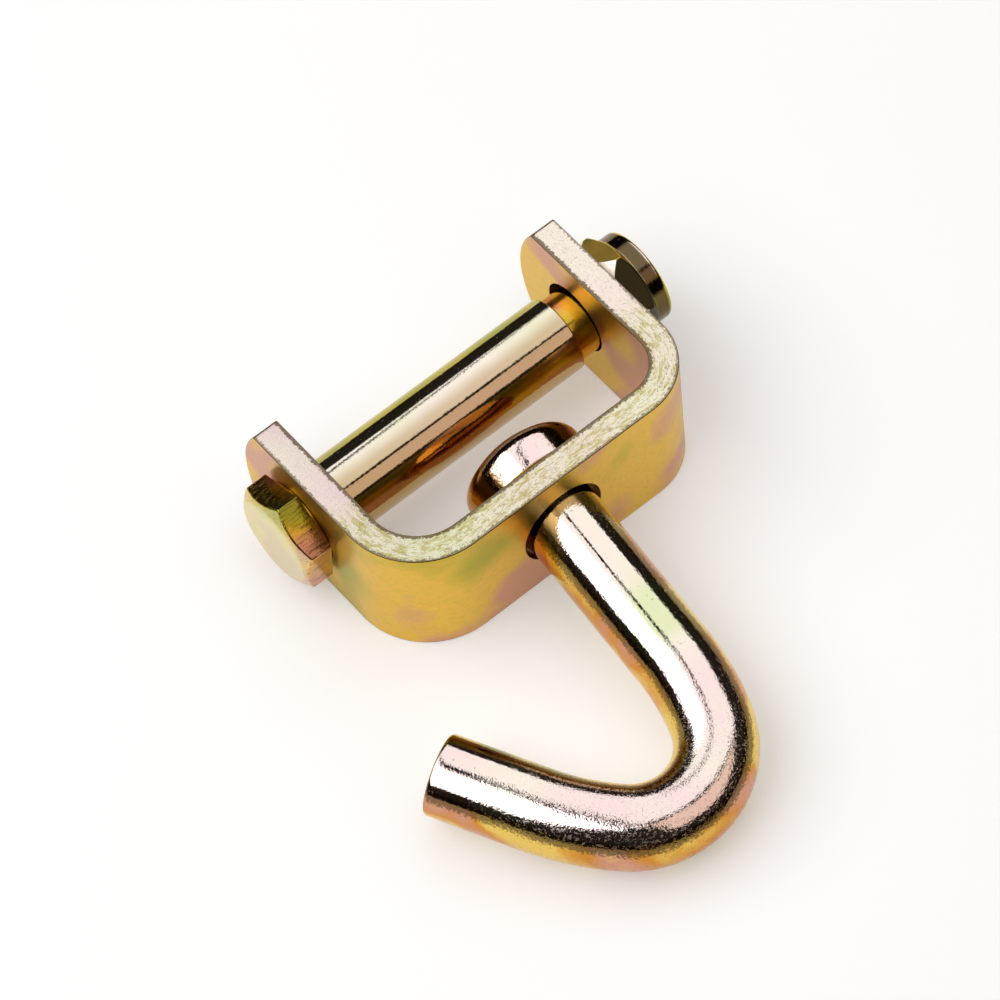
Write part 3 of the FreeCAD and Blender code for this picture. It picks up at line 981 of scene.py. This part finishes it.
class SWIVELHOOK_OT_nut_insert(bpy.types.Operator):
    """Make the nylon locking ring, its bore formed by the bolt's thread"""

    bl_idname = "swivelhook.nut_insert"
    bl_label = "Nylon ring"

    def execute(self, context):
        nut = settings().nut
        low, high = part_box("nut_insert")
        start, end, outer = low.x, high.x, high.z
        inner = settings().bolt.thread_radius + BORE_TOLERANCE

        def outline_at(theta):
            edge = nut.insert_round
            corners = [
                ((start, inner), edge), ((start, outer), edge), ((end, outer), edge),
                ((end, inner), nut.insert_flare)]
            corners += thread_rows(end - THREAD_RUNOUT, start + 2 * edge, inner)
            return eased(corners, True)

        mesh = lathe_mesh("nut_insert", outline_at, round_angles(RING_SIDES), True)
        give_thread_share(mesh, -math.inf, end, RING_RUNOUT, inner + BORE_TOLERANCE)
        material = nylon_ring()
        mesh = cut_thread("nut_insert_finished", mesh, material)
        add_piece("nut_insert_finished", mesh, "bolt", "nut_insert", material)
        return {"FINISHED"}


# ---- spacer sleeve -------------------------------------------------------------------------------

SLEEVE_SIDES = 120


class SWIVELHOOK_OT_spacer_sleeve(bpy.types.Operator):
    """Make the spacer sleeve, a drawn tube with chamfered ends"""

    bl_idname = "swivelhook.spacer_sleeve"
    bl_label = "Spacer sleeve"

    def execute(self, context):
        sleeve = settings().sleeve
        low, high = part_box("spacer_sleeve")
        start, end, outer = low.x, high.x, high.z
        edge, bore = sleeve.edge, sleeve.bore_radius

        def outline_at(theta):
            corners = [
                ((start, bore), sleeve.bore_round), ((start, outer - edge), sleeve.end_round),
                ((start + edge, outer), sleeve.edge_round), ((end - edge, outer), sleeve.edge_round),
                ((end, outer - edge), sleeve.end_round), ((end, bore), sleeve.bore_round)]
            return eased(corners, True)

        mesh = lathe_mesh("spacer_sleeve_finished", outline_at, round_angles(SLEEVE_SIDES), True)
        add_piece(
            "spacer_sleeve_finished", mesh, "sleeve", "spacer_sleeve", sleeve_plating())
        return {"FINISHED"}


# ---- U bracket -----------------------------------------------------------------------------------

WIDTH_CELLS = 16
BEND_CELLS = 34
HOLE_RINGS = 5
HOLE_RING_CROWDING = 1.4      # over 1 crowds the rings towards the hole
HOLE_BLOCK_MARGIN = 3.2 * MM  # by which a hole's block is shorter than it is wide
CROWN_CELLS = 24
LEG_CELL = 2 * MM
EDGE_HOLLOW = 0.03 * MM       # how far a cut edge draws in at its middle
SAME_POINT = 1e-7             # metres


def plate_plan():
    """The flat blank's lengths, for each leg: bend start, neutral radius, ear start, hole, corner."""
    sizes = settings().bracket
    low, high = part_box("u_bracket")
    t = sizes.thickness
    legs = {}
    for side, outside, bend in ((-1, -low.x, sizes.head_bend), (1, high.x, sizes.nut_bend)):
        bend_start = outside - t - bend
        neutral = bend + t / 2
        ear_start = bend_start + neutral * math.pi / 2
        ear_start_y = low.y + t + bend
        legs[side] = {
            "bend_start": bend_start, "neutral": neutral, "ear_start": ear_start,
            "hole": ear_start + sizes.ear_hole_shift - ear_start_y,
            "tip": ear_start + high.y - ear_start_y}
    return legs


class Blank:
    """Collects the flat blank's faces: outer and inner skins from one plan, and walls between them."""

    def __init__(self, thickness):
        self.half = thickness / 2
        self.verts = []
        self.faces = []
        self.found = {}

    def point(self, s, z, t):
        """Index of the vertex at s along the blank, z across it and t out of it."""
        key = tuple(round(value / SAME_POINT) for value in (s, z, t))
        if key not in self.found:
            self.found[key] = len(self.verts)
            self.verts.append((s, -t, z))
        return self.found[key]

    def skins(self, outline):
        """One face on the outer skin and one on the inner, over a plan outline."""
        self.faces.append([self.point(s, z, self.half) for s, z in outline])
        self.faces.append([self.point(s, z, -self.half) for s, z in reversed(outline)])

    def grid(self, rows):
        """Skins between rows of plan points."""
        for first, second in zip(rows, rows[1:]):
            for index in range(len(first) - 1):
                self.skins([first[index], second[index], second[index + 1], first[index + 1]])

    def wall(self, edge, profile, closed):
        """Strip from the outer skin to the inner one along a plan edge of (point, normal)."""
        count = len(edge)
        for index in range(count if closed else count - 1):
            pair = (edge[index], edge[(index + 1) % count])
            columns = [
                [self.point(p[0] + n[0] * out, p[1] + n[1] * out, t) for out, t in profile]
                for p, n in pair]
            for row in range(len(profile) - 1):
                self.faces.append([
                    columns[0][row], columns[1][row], columns[1][row + 1], columns[0][row + 1]])


def wall_profile(thickness, size):
    """(outward, through) points of a cut edge, from the outer skin to the inner one."""
    half = thickness / 2
    corners = [
        ((-size, half), 0), ((0, half), size), ((-EDGE_HOLLOW, 0), 0),
        ((0, -half), size), ((-size, -half), 0)]
    points = []
    for point in eased(corners):
        inside = point[0] >= -size - 1e-9
        if inside and (not points or math.dist(point, points[-1]) > 1e-8):
            points.append(point)
    return points


def hole_block(blank, centre, radius, half_length, half_width, profile, size):
    """Square of plate round a hole, in rings from the hole to the block's border."""
    border = []
    cells = WIDTH_CELLS
    for side in range(4):
        for index in range(cells):
            f = -1 + 2 * index / cells
            s, z = ((1, f), (-f, 1), (-1, -f), (f, -1))[side]
            border.append((centre + s * half_length, z * half_width))
    rim = []
    for s, z in border:
        theta = math.atan2(z, s - centre)
        rim.append((math.cos(theta), math.sin(theta)))
    edge = [((centre + c * radius, s * radius), (-c, -s)) for c, s in rim]
    inset = radius + size
    rings = []
    for ring in range(HOLE_RINGS + 1):
        f = (ring / HOLE_RINGS) ** HOLE_RING_CROWDING
        rings.append([
            (centre + c * inset + (b[0] - centre - c * inset) * f, s * inset + (b[1] - s * inset) * f)
            for (c, s), b in zip(rim, border)])
    for inner, outer in zip(rings, rings[1:]):
        count = len(inner)
        for index in range(count):
            after = (index + 1) % count
            blank.skins([inner[index], outer[index], outer[after], inner[after]])
    blank.wall(edge, profile, True)


def ear_end(side, tip, crown, half_width, corner):
    """Plan edge of a crowned ear end as (point, normal), from the +Z corner to the -Z corner."""
    radius = (half_width ** 2 + crown ** 2) / (2 * crown)
    middle = tip - radius
    corner_z = half_width - corner
    corner_s = middle + math.sqrt((radius - corner) ** 2 - corner_z ** 2)
    turn_end = math.atan2(corner_z, corner_s - middle)
    half_edge = [((corner_s - 0.5 * corner, half_width), (0.0, 1.0))]
    for step in range(CORNER_STEPS + 1):
        theta = math.pi / 2 + (turn_end - math.pi / 2) * step / CORNER_STEPS
        n = (math.cos(theta), math.sin(theta))
        half_edge.append(((corner_s + corner * n[0], corner_z + corner * n[1]), n))
    for step in range(1, CROWN_CELLS // 2 + 1):
        theta = turn_end * (1 - step / (CROWN_CELLS // 2))
        n = (math.cos(theta), math.sin(theta))
        half_edge.append(((middle + radius * n[0], radius * n[1]), n))
    mirrored = [((p[0], -p[1]), (n[0], -n[1])) for p, n in reversed(half_edge[:-1])]
    return [((side * p[0], p[1]), (side * n[0], n[1])) for p, n in half_edge + mirrored]


def stations(start, end, longest):
    """Evenly spaced places from start to end, no further apart than longest."""
    count = max(1, math.ceil(abs(end - start) / longest - 1e-6))
    return [start + (end - start) * index / count for index in range(count + 1)]


def flat_blank():
    """Mesh of the bracket's blank before bending: X along it, -Y outwards, Z across."""
    sizes = settings().bracket
    low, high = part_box("u_bracket")
    half_width = (high.z - low.z) / 2
    inset_width = half_width - sizes.edge_round
    profile = wall_profile(sizes.thickness, sizes.edge_round)
    hole_profile = wall_profile(sizes.thickness, sizes.hole_round)
    legs = plate_plan()
    blank = Blank(sizes.thickness)
    block = inset_width - HOLE_BLOCK_MARGIN
    holes = [
        (-legs[-1]["hole"], sizes.ear_hole), (0.0, sizes.swivel_hole),
        (legs[1]["hole"], sizes.ear_hole)]
    long_edge = []
    for centre, radius in holes:
        hole_block(blank, centre, radius, block, inset_width, hole_profile, sizes.hole_round)
    across = [-inset_width + 2 * inset_width * index / WIDTH_CELLS for index in range(WIDTH_CELLS + 1)]

    def add_strip(places):
        blank.grid([[(s, z) for z in across] for s in places])
        long_edge.extend(places)

    ends = {}
    for side in (-1, 1):
        leg = legs[side]
        bend = [leg["bend_start"] + (leg["ear_start"] - leg["bend_start"]) * index / BEND_CELLS
                for index in range(BEND_CELLS + 1)]
        places = stations(block, leg["bend_start"], LEG_CELL)[:-1] + bend
        places += stations(leg["ear_start"], leg["hole"] - block, LEG_CELL)[1:]
        places = [side * s for s in places]
        add_strip(places if side > 0 else places[::-1])
        ends[side] = ear_end(side, leg["tip"], sizes.ear_crown, half_width, sizes.corner_round)
        border = leg["hole"] + block
        outline = [(side * border, z) for z in reversed(across)]
        inset_end = [
            (p[0] - n[0] * sizes.edge_round, p[1] - n[1] * sizes.edge_round) for p, n in ends[side]]
        face = outline[::-1] + inset_end
        blank.skins(face if side > 0 else face[::-1])
    for centre, radius in holes:
        long_edge.extend(
            centre - block + 2 * block * index / WIDTH_CELLS for index in range(WIDTH_CELLS + 1))
    long_edge = sorted(set(round(s, 9) for s in long_edge))
    top = [((s, half_width), (0.0, 1.0)) for s in long_edge]
    bottom = [((s, -half_width), (0.0, -1.0)) for s in long_edge]
    loop = top + ends[1] + bottom[::-1] + ends[-1][::-1]
    blank.wall(loop, profile, True)
    return mesh_of("u_bracket_blank", blank.verts, blank.faces)


def bend_tree():
    """Bends a flat blank into a U: X runs along the blank, and Y is minus the way out of the U."""
    tree, nodes, entry, value = new_tree("bend_blank", {
        "Base": "NodeSocketFloat",
        "Head Bend Start": "NodeSocketFloat", "Head Radius": "NodeSocketFloat",
        "Nut Bend Start": "NodeSocketFloat", "Nut Radius": "NodeSocketFloat",
        "Material": "NodeSocketMaterial"})
    position = nodes.add("GeometryNodeInputPosition")
    marked = nodes.add("GeometryNodeStoreNamedAttribute", {"data_type": "FLOAT_VECTOR"}, {
        "Geometry": entry, "Name": "blank_place", "Value": position})
    along, y, z = nodes.parts(position)
    nut_side = along > 0.0
    start = value["Head Bend Start"] + (value["Nut Bend Start"] - value["Head Bend Start"]) * nut_side
    radius = value["Head Radius"] + (value["Nut Radius"] - value["Head Radius"]) * nut_side
    out = -y
    reach = abs(along)
    beyond = nodes.maths("MAXIMUM", reach - start, 0.0)
    arc = radius * (math.pi / 2)
    turned = nodes.maths("MINIMUM", beyond, arc)
    straight = beyond - turned
    turn = turned / radius
    sine = nodes.maths("SINE", turn)
    cosine = nodes.maths("COSINE", turn)
    base_reach = nodes.maths("MINIMUM", reach, start)
    x = base_reach + (radius + out) * sine + straight * cosine
    up = value["Base"] + radius - (radius + out) * cosine + straight * sine
    sided = x * (nut_side * 2 - 1)
    bent = nodes.add("GeometryNodeSetPosition", None, {
        "Geometry": marked, "Position": nodes.join(sided, up, z)})
    close_tree(nodes, bent, value["Material"])
    return tree


class SWIVELHOOK_OT_u_bracket(bpy.types.Operator):
    """Make the U bracket: a punched flat blank, bent round its two corners"""

    bl_idname = "swivelhook.u_bracket"
    bl_label = "U bracket"

    def execute(self, context):
        sizes = settings().bracket
        legs = plate_plan()
        material = bracket_plating()
        mesh = run_tree("u_bracket_finished", flat_blank(), bend_tree(), {
            "Base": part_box("u_bracket")[0].y + sizes.thickness / 2,
            "Head Bend Start": legs[-1]["bend_start"], "Head Radius": legs[-1]["neutral"],
            "Nut Bend Start": legs[1]["bend_start"], "Nut Radius": legs[1]["neutral"],
            "Material": material})
        add_piece("u_bracket_finished", mesh, "bracket", "u_bracket", material)
        return {"FINISHED"}


# ---- swivel hook ---------------------------------------------------------------------------------

def hook_pose():
    """Matrix from the hook's own axes to the frame, from the swivel joint's axis and the roll."""
    joint = next(item for item in frame["joints"] if item["name"] == "hook_swivel")
    down = Vector(joint["axis"]).normalized()
    lean = Matrix.Rotation(math.atan2(down.x, -down.y), 4, "Z")
    droop = Matrix.Rotation(math.asin(-down.z), 4, "X")
    roll = Matrix.Rotation(-settings().hook.roll, 4, "Y")
    return Matrix.Translation(joint["pos_m"]) @ lean @ droop @ roll, down


def arc_points(centre, radius, start, end, steps):
    """(along, out) points on an arc, angles from the shank's axis, in radians."""
    points = []
    for index in range(steps + 1):
        theta = start + (end - start) * index / steps
        points.append((centre[0] + radius * math.cos(theta), centre[1] + radius * math.sin(theta)))
    return points


FLAT_STEP = 0.004 * MM   # rise from ring to ring of a flat face, so that no two share a place
BAR_CELL = 1.2 * MM
BEND_CELL = 0.7 * MM
CROWN_STEPS, EDGE_STEPS, ROUND_STEPS = 16, 14, 7
BAR_SIDES = 112


def head_outline(hook, seat):
    """(height on the shank's axis, radius) from the crown down to the bar under the head."""
    r, edge, crown, under = hook.head_radius, hook.head_edge, hook.head_crown, hook.head_under
    join = math.asin((r - edge) / (crown - edge))
    top = seat + hook.head_height
    crown_centre = top - crown
    edge_centre = crown_centre + (crown - edge) * math.cos(join)
    points = arc_points((crown_centre, 0.0), crown, 0.0, join, CROWN_STEPS)
    points += arc_points((edge_centre, r - edge), edge, join, math.pi / 2, EDGE_STEPS)[1:]
    points += arc_points((seat + under, r - under), under, math.pi / 2, math.pi, ROUND_STEPS)
    flat = stations(r - under, hook.bar_radius + hook.head_fillet, BAR_CELL / 2)[1:]
    points += [(seat - FLAT_STEP * (index + 1), radius) for index, radius in enumerate(flat)]
    lower = seat - FLAT_STEP * len(flat) - hook.head_fillet
    centre = (lower, hook.bar_radius + hook.head_fillet)
    points += arc_points(centre, hook.head_fillet, 0.0, -math.pi / 2, ROUND_STEPS)[1:]
    return points


def bar_reaches(hook, seat):
    """Lengths from the crown: to the head's underside, the main bend, its end and the tip."""
    bend_start = seat + hook.head_height + hook.shank + hook.lead_in_radius * hook.lead_in
    bend_end = bend_start + hook.bend_radius * hook.bend
    tip = bend_end + hook.run_out_radius * hook.run_out + hook.tip
    return hook.head_height, bend_start, bend_end, tip


def hook_line(hook, seat):
    """The bar's centreline as (x, y, radius), crown to tip, in the plane of the J."""
    line = [(0.0, along, radius) for along, radius in head_outline(hook, seat)]
    line += [(0.0, y, hook.bar_radius) for y in stations(line[-1][1], -hook.shank, BAR_CELL)[1:]]
    x, y, heading = 0.0, -hook.shank, -math.pi / 2
    bends = (
        (hook.lead_in_radius, hook.lead_in), (hook.bend_radius, hook.bend),
        (hook.run_out_radius, hook.run_out))
    for radius, turn in bends:
        steps = max(8, math.ceil(radius * turn / BEND_CELL))
        centre = (x + radius * math.sin(heading), y - radius * math.cos(heading))
        for index in range(1, steps + 1):
            now = heading - turn * index / steps
            line.append((
                centre[0] - radius * math.sin(now), centre[1] + radius * math.cos(now), hook.bar_radius))
        x, y, heading = line[-1][0], line[-1][1], heading - turn
    straight = hook.tip - hook.tip_round
    ends = [(along, hook.bar_radius) for along in stations(0.0, straight, BAR_CELL)[1:]]
    rim = hook.bar_radius - hook.tip_round
    ends += arc_points((straight, rim), hook.tip_round, math.pi / 2, 0.0, ROUND_STEPS)[1:]
    face = stations(rim, 0.0, 1.0 * MM)[1:]
    reach = ends[-1][0]
    ends += [(reach + FLAT_STEP * (index + 1), radius) for index, radius in enumerate(face)]
    line += [(x + math.cos(heading) * a, y + math.sin(heading) * a, radius) for a, radius in ends]
    return line


def bar_curve(name, line, matrix):
    """Poly curve through (x, y, radius) places."""
    curve = bpy.data.curves.new(name, "CURVE")
    curve.dimensions = "3D"
    spline = curve.splines.new("POLY")
    spline.points.add(len(line) - 1)
    for point, (x, y, radius) in zip(spline.points, line):
        point.co = (*(matrix @ Vector((x, y, 0.0))), 1.0)
        point.radius = radius
    return curve


def sweep_tree():
    """Sweeps a round section along a curve whose radius is the bar's, with a faint unevenness."""
    tree, nodes, entry, value = new_tree("forge_bar", {
        "Sides": "NodeSocketInt", "Unevenness": "NodeSocketFloat", "Material": "NodeSocketMaterial"})
    reach = nodes.add("GeometryNodeSplineParameter", None, None, "Length")
    radius = nodes.add("GeometryNodeInputRadius")
    line = nodes.add("GeometryNodeStoreNamedAttribute", {"data_type": "FLOAT"}, {
        "Geometry": entry, "Name": "reach", "Value": reach})
    line = nodes.add("GeometryNodeStoreNamedAttribute", {"data_type": "FLOAT"}, {
        "Geometry": line, "Name": "bar_radius", "Value": radius})
    circle = nodes.add("GeometryNodeCurvePrimitiveCircle", {"mode": "RADIUS"}, {
        "Resolution": value["Sides"], "Radius": 1.0})
    circle = nodes.add("GeometryNodeStoreNamedAttribute", {"data_type": "FLOAT_VECTOR"}, {
        "Geometry": circle, "Name": "section", "Value": nodes.add("GeometryNodeInputPosition")})
    swept = nodes.add("GeometryNodeCurveToMesh", None, {
        "Curve": line, "Profile Curve": circle, "Scale": radius, "Fill Caps": False})
    closed = nodes.add("GeometryNodeMergeByDistance", None, {"Geometry": swept, "Distance": 0.002 * MM})

    def read(kind, name):
        return nodes.add("GeometryNodeInputNamedAttribute", {"data_type": kind}, {"Name": name})

    width = read("FLOAT", "bar_radius")
    section = nodes.vector("MULTIPLY", read("FLOAT_VECTOR", "section"), nodes.join(width, width, width))
    unrolled = nodes.vector("ADD", section, nodes.join(0.0, 0.0, read("FLOAT", "reach")))
    marked = nodes.add("GeometryNodeStoreNamedAttribute", {"data_type": "FLOAT_VECTOR"}, {
        "Geometry": closed, "Name": "bar_place", "Value": unrolled})
    wander = nodes.noise(unrolled, 0.16 / MM, 2.0) - 0.5
    rise = wander * value["Unevenness"]
    normal = nodes.add("GeometryNodeInputNormal")
    push = nodes.vector("MULTIPLY", normal, nodes.join(rise, rise, rise))
    uneven = nodes.add("GeometryNodeSetPosition", None, {"Geometry": marked, "Offset": push})
    smooth = nodes.add("GeometryNodeSetShadeSmooth", None, {"Geometry": uneven, "Shade Smooth": True})
    close_tree(nodes, smooth, value["Material"])
    return tree


class SWIVELHOOK_OT_swivel_hook(bpy.types.Operator):
    """Make the swivel hook: upset head, shank, J bend and sawn tip in one bar"""

    bl_idname = "swivelhook.swivel_hook"
    bl_label = "Swivel hook"

    def execute(self, context):
        hook = settings().hook
        pose, down = hook_pose()
        tilt = math.acos(-down.y)
        seat = hook.base_thickness / 2 + hook.head_radius * math.tan(tilt) + hook.head_gap
        material = hook_plating(bar_reaches(hook, seat))
        curve = bar_curve("swivel_hook_line", hook_line(hook, seat), pose)
        mesh = run_tree("swivel_hook_finished", curve, sweep_tree(), {
            "Sides": BAR_SIDES, "Unevenness": hook.unevenness, "Material": material})
        add_piece("swivel_hook_finished", mesh, "hook", "swivel_hook", material)
        return {"FINISHED"}


# ---- studio --------------------------------------------------------------------------------------

FLOOR_REACH = 3.0


def soft_box(name, centre, size, brightness, tint):
    """Flat soft light looking down; brightness is what its face shows."""
    data = bpy.data.lights.new(name, "AREA")
    data.shape = "RECTANGLE"
    data.size, data.size_y = size
    data.energy = brightness * math.pi * size[0] * size[1]
    data.color = tint
    light = bpy.data.objects.new(name, data)
    light.location = centre
    light.visible_camera = False
    bpy.context.scene.collection.objects.link(light)
    return light


def flat_card(name, outline, height, material):
    """A flat stage card at that height; outline gives its corners."""
    mesh = bpy.data.meshes.new(name)
    mesh.from_pydata([(x, y, height) for x, y in outline], [], [tuple(range(len(outline)))])
    mesh.materials.append(material)
    card = bpy.data.objects.new(name, mesh)
    bpy.context.scene.collection.objects.link(card)
    return card


def pale_floor(glow):
    """Plain pale floor that gives a little light of its own."""
    material, nodes = new_material("pale_floor")
    matt = nodes.add("ShaderNodeBsdfDiffuse", None, {"Color": (0.82, 0.82, 0.82, 1.0)})
    shine = nodes.add("ShaderNodeEmission", None, {"Color": (1.0, 1.0, 1.0, 1.0), "Strength": glow})
    both = nodes.add("ShaderNodeAddShader", None, {0: matt, 1: shine})
    nodes.add("ShaderNodeOutputMaterial", None, {"Surface": both})
    return material


def dark_card():
    """Matt black card."""
    material, nodes = new_material("dark_card")
    matt = nodes.add("ShaderNodeBsdfDiffuse", None, {"Color": (0.004, 0.004, 0.004, 1.0)})
    nodes.add("ShaderNodeOutputMaterial", None, {"Surface": matt})
    return material


def studio_world():
    """Dark room for the reflections, pale to the camera."""
    world = bpy.data.worlds.new("studio")
    bpy.context.scene.world = world
    world.use_nodes = True
    world.node_tree.nodes.clear()
    nodes = Nodes(world.node_tree)
    seen = nodes.add("ShaderNodeLightPath", None, None, "Is Camera Ray")
    room = nodes.add("ShaderNodeBackground", None, {"Color": (0.30, 0.24, 0.18, 1.0), "Strength": 0.05})
    pale = nodes.add("ShaderNodeBackground", None, {"Color": (1.0, 1.0, 1.0, 1.0), "Strength": 1.0})
    both = nodes.add("ShaderNodeMixShader", None, {0: seen, 1: room, 2: pale})
    nodes.add("ShaderNodeOutputWorld", None, {"Surface": both})


class SWIVELHOOK_OT_studio(bpy.types.Operator):
    """Make the floor, the soft boxes and the camera"""

    bl_idname = "swivelhook.studio"
    bl_label = "Studio"

    def execute(self, context):
        studio = settings().studio
        floor_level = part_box("u_bracket")[0].z
        height = studio.light_height
        reach = FLOOR_REACH
        corners = [(-reach, -reach), (reach, -reach), (reach, reach), (-reach, reach)]
        flat_card("floor", corners, floor_level, pale_floor(studio.floor_glow))
        # Edges of the boxes as tangents of their angle from straight up: left, right, near, far.
        boxes = {
            "white_box": ((-1.72, -0.25, -0.55, 1.5), studio.white, (1.0, 1.0, 1.0)),
            "pale_box": ((-0.25, 1.38, -0.39, 1.25), studio.pale, (1.0, 0.97, 0.96)),
            "dim_box": ((-0.2, 1.15, -1.6, -0.52), studio.dim, (1.0, 0.78, 0.66)),
        }
        for name, ((left, right, near, far), brightness, tint) in boxes.items():
            middle = ((left + right) / 2 * height, (near + far) / 2 * height, height)
            soft_box(name, middle, ((right - left) * height, (far - near) * height), brightness, tint)
        # A dark strip between the boxes, in the same tangents.
        seam = [(-0.52, -0.6), (-0.36, -0.6), (0.70, 1.5), (0.688, 1.5)]
        seam = [(x * height, y * height) for x, y in seam]
        card = flat_card("seam_card", seam, 0.985 * height, dark_card())
        card.visible_camera = False
        studio_world()
        self.place_camera(context.scene, studio)
        context.scene.view_settings.view_transform = "Standard"
        return {"FINISHED"}

    @staticmethod
    def place_camera(scene, studio):
        """Adds the camera, aimed at the target from the given direction and distance."""
        azimuth, elevation, roll = studio.azimuth, studio.elevation, studio.roll
        back = Vector((
            math.sin(azimuth) * math.cos(elevation), -math.cos(azimuth) * math.cos(elevation),
            math.sin(elevation)))
        level = Vector((math.cos(azimuth), math.sin(azimuth), 0.0))
        upright = level.cross(-back)
        right = math.cos(roll) * level + math.sin(roll) * upright
        up = back.cross(right)
        data = bpy.data.cameras.new("camera")
        data.lens = studio.lens
        data.sensor_width = 36.0
        data.clip_start = 0.05
        data.clip_end = 20.0
        camera = bpy.data.objects.new("camera", data)
        turned = Matrix((right, up, back)).transposed().to_4x4()
        camera.matrix_world = Matrix.Translation(Vector(studio.target) + back * studio.distance) @ turned
        scene.collection.objects.link(camera)
        scene.camera = camera


# ---- panel and registration ----------------------------------------------------------------------

OPERATORS = (
    SWIVELHOOK_OT_studio, SWIVELHOOK_OT_u_bracket, SWIVELHOOK_OT_cross_bolt, SWIVELHOOK_OT_lock_nut,
    SWIVELHOOK_OT_nut_insert, SWIVELHOOK_OT_spacer_sleeve, SWIVELHOOK_OT_swivel_hook)


class SWIVELHOOK_PT_pieces(bpy.types.Panel):
    """Lists the pieces"""

    bl_idname = "SWIVELHOOK_PT_pieces"
    bl_label = "Swivel hook"
    bl_space_type = "VIEW_3D"
    bl_region_type = "UI"
    bl_category = "Swivel hook"

    def draw(self, context):
        for operator in OPERATORS:
            self.layout.operator(operator.bl_idname)


GROUPS = (
    BracketSizes, BoltSizes, NutSizes, SleeveSizes, HookSizes, PlatingColours, StudioSettings,
    FittingSettings)


def register():
    """Registers the settings, the operators and the panel."""
    for item in GROUPS + OPERATORS + (SWIVELHOOK_PT_pieces,):
        bpy.utils.register_class(item)
    bpy.types.Scene.swivel_fitting = bpy.props.PointerProperty(type=FittingSettings)


def unregister():
    """Takes them all away again."""
    del bpy.types.Scene.swivel_fitting
    for item in reversed(GROUPS + OPERATORS + (SWIVELHOOK_PT_pieces,)):
        bpy.utils.unregister_class(item)


def main():
    """Builds the studio and all the pieces."""
    register()
    bpy.ops.swivelhook.studio()
    bpy.ops.swivelhook.u_bracket()
    bpy.ops.swivelhook.cross_bolt()
    bpy.ops.swivelhook.lock_nut()
    bpy.ops.swivelhook.nut_insert()
    bpy.ops.swivelhook.spacer_sleeve()
    bpy.ops.swivelhook.swivel_hook()


if __name__ == "__main__":
    main()
